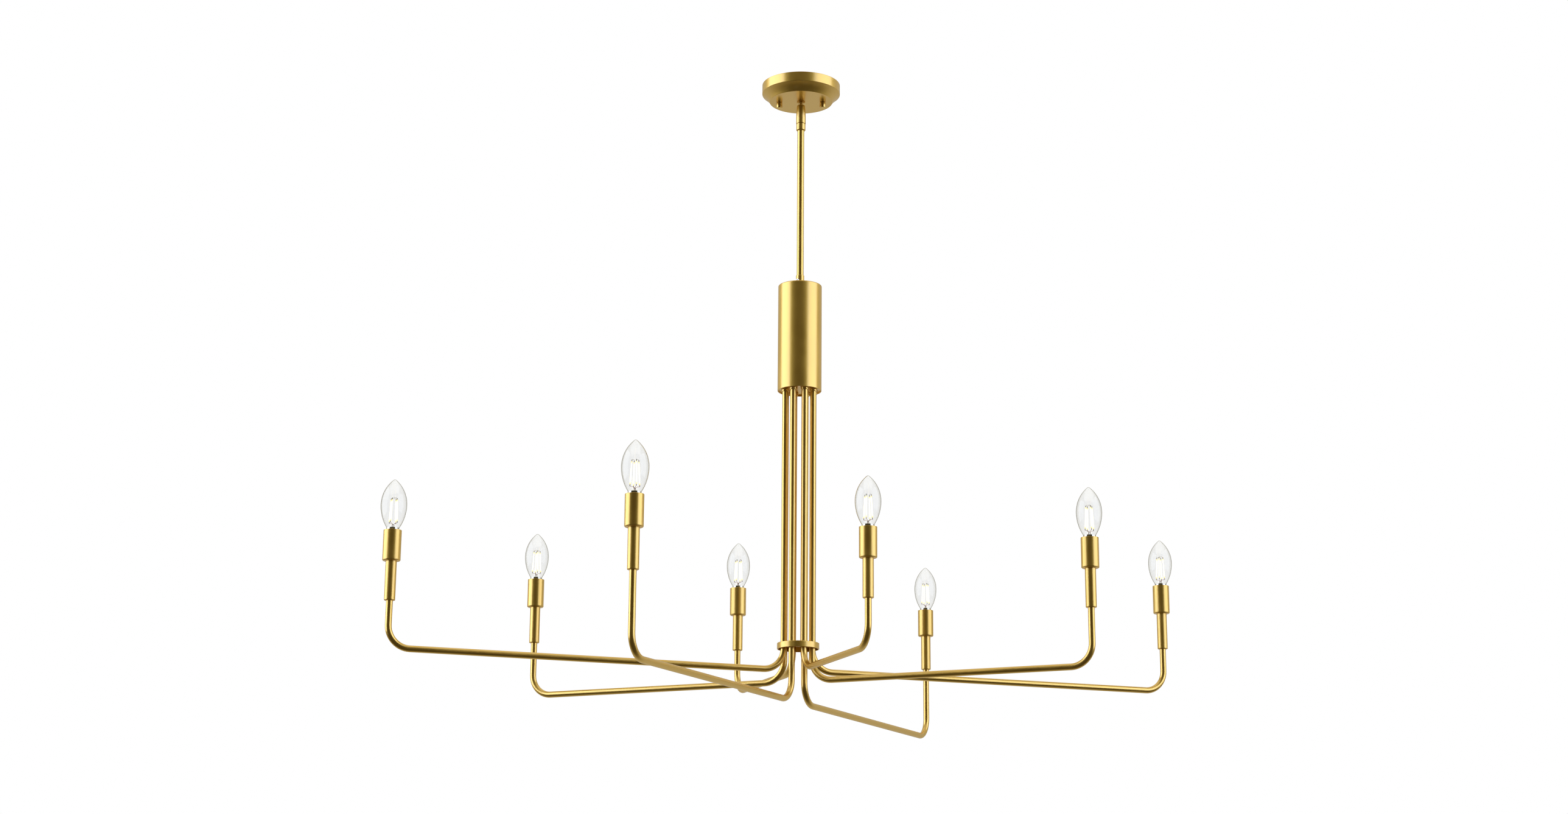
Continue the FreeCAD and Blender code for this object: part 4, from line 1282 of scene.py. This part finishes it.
class CHANDELIER_OT_stage(Operator):
    """Place the camera, the softboxes, the pale backdrop and the floor"""
    bl_idname = "chandelier.stage"
    bl_label = "Stage"

    def execute(self, context):
        studio = settings("studio")
        self.camera(context.scene, studio)
        for name, place, size, power in (
                ("left_softbox", (-3.43, -0.65, 0.4), (3.8, 3.6), studio.left_power),
                ("right_softbox", (3.32, -1.05, 0.4), (3.8, 3.6), studio.right_power),
                ("overhead_panel", (0, -0.3, 2.2), (3.5, 3.5), studio.top_power)):
            self.softbox(name, place, size, power)
        self.world(context.scene)
        self.floor(-studio.floor_drop)
        context.scene.view_settings.view_transform = "Standard"
        return {"FINISHED"}

    def camera(self, scene, studio):
        data = bpy.data.cameras.new("studio_camera")
        data.lens = studio.lens
        data.sensor_width = 36.0
        data.clip_start = 0.05
        camera = bpy.data.objects.new("studio_camera", data)
        scene.collection.objects.link(camera)
        place = Vector((studio.distance * math.sin(studio.azimuth),
                        -studio.distance * math.cos(studio.azimuth), -studio.below))
        turn = (Matrix.Rotation(studio.heading, 4, "Z")
                @ Matrix.Rotation(math.pi / 2 + studio.pitch, 4, "X")
                @ Matrix.Rotation(studio.roll, 4, "Z"))
        camera.matrix_world = Matrix.Translation(place) @ turn
        scene.camera = camera

    def softbox(self, name, place, size, power):
        """A cool white panel that faces the chandelier's middle."""
        data = bpy.data.lights.new(name, "AREA")
        data.shape = "RECTANGLE"
        data.size, data.size_y = size
        data.energy = power
        data.color = (0.83, 0.89, 1.0)
        light = bpy.data.objects.new(name, data)
        bpy.context.scene.collection.objects.link(light)
        back = Vector(place) - Vector((0, 0, AIM_LEVEL))
        light.matrix_world = Matrix.Translation(place) @ back.to_track_quat("Z", "Y").to_matrix().to_4x4()
        light.visible_camera = False
        light.visible_transmission = False

    def world(self, scene):
        """White to the eye and through glass; in reflections dim and warm in front, grey behind."""
        world = bpy.data.worlds.new("studio")
        scene.world = world
        world.use_nodes = True
        tree = world.node_tree
        tree.nodes.clear()
        way = add(tree, "ShaderNodeSeparateXYZ",
                  {0: tree.nodes.new("ShaderNodeTexCoord").outputs["Generated"]}).outputs
        behind = spread(tree, way["Y"], -0.35, 0.75)
        above = spread(tree, way["Z"], 0.3, 0.95)
        light = spread(tree, way["Y"], -0.35, 0.75, 0.065, 0.485)
        dim = add(tree, "ShaderNodeBackground",
                  {"Color": mix(tree, behind, (1.0, 0.80, 0.38), (1.0, 0.97, 0.85)),
                   "Strength": calculate(tree, "MULTIPLY_ADD", above, 0.25, light)}).outputs[0]
        white = add(tree, "ShaderNodeBackground", {"Color": (1, 1, 1, 1), "Strength": 1.0}).outputs[0]
        path = tree.nodes.new("ShaderNodeLightPath").outputs
        through = calculate(tree, "MULTIPLY", path["Is Transmission Ray"],
                            calculate(tree, "LESS_THAN", path["Glossy Depth"], 0.5))
        seen = calculate(tree, "MAXIMUM", path["Is Camera Ray"], through)
        both = add(tree, "ShaderNodeMixShader", {0: seen, 1: dim, 2: white}).outputs[0]
        tree.links.new(both, tree.nodes.new("ShaderNodeOutputWorld").inputs["Surface"])

    def floor(self, level):
        deselect()
        bpy.ops.mesh.primitive_plane_add(size=14.0, location=(0, 0, level))
        floor = bpy.context.object
        floor.name = "pale_floor"
        floor.visible_glossy = False
        material, tree, shader, place = blank_material("pale_floor")
        surface = grain(tree, place, 4 * MM, 0.4)
        connect(tree, shader, Base_Color=mix(tree, surface["Patch"], (0.86, 0.86, 0.85),
                                             (0.89, 0.89, 0.88)),
                Normal=bump(tree, surface["Height"], 0.05, MM))
        shader.inputs["Roughness"].default_value = 0.85
        shader.inputs["Emission Color"].default_value = (1, 1, 1, 1)
        shader.inputs["Emission Strength"].default_value = 0.8
        floor.data.materials.append(material)


OPERATORS = (CHANDELIER_OT_canopy, CHANDELIER_OT_canopy_nuts, CHANDELIER_OT_ceiling_hardware,
             CHANDELIER_OT_ball_stud, CHANDELIER_OT_swivel, CHANDELIER_OT_rod,
             CHANDELIER_OT_drum, CHANDELIER_OT_hub_fastenings, CHANDELIER_OT_tube_collars,
             CHANDELIER_OT_spacer, CHANDELIER_OT_arms, CHANDELIER_OT_candle_ends,
             CHANDELIER_OT_bulb_glass, CHANDELIER_OT_bulb_base, CHANDELIER_OT_filaments,
             CHANDELIER_OT_stage)


class CHANDELIER_PT_panel(Panel):
    """Buttons for the chandelier's pieces"""
    bl_idname = "CHANDELIER_PT_panel"
    bl_label = "Chandelier"
    bl_space_type = "VIEW_3D"
    bl_region_type = "UI"
    bl_category = "Chandelier"

    def draw(self, context):
        column = self.layout.column(align=True)
        for operator in OPERATORS:
            column.operator(operator.bl_idname)


CLASSES = (*SETTINGS.values(), *OPERATORS, CHANDELIER_PT_panel)


def register():
    for entry in CLASSES:
        bpy.utils.register_class(entry)
    for name, group in SETTINGS.items():
        setattr(bpy.types.Scene, "chandelier_" + name, PointerProperty(type=group))


def unregister():
    for name in SETTINGS:
        delattr(bpy.types.Scene, "chandelier_" + name)
    for entry in reversed(CLASSES):
        bpy.utils.unregister_class(entry)


def main():
    register()
    for operator in OPERATORS:
        family, name = operator.bl_idname.split(".")
        getattr(getattr(bpy.ops, family), name)()


if __name__ == "__main__":
    main()
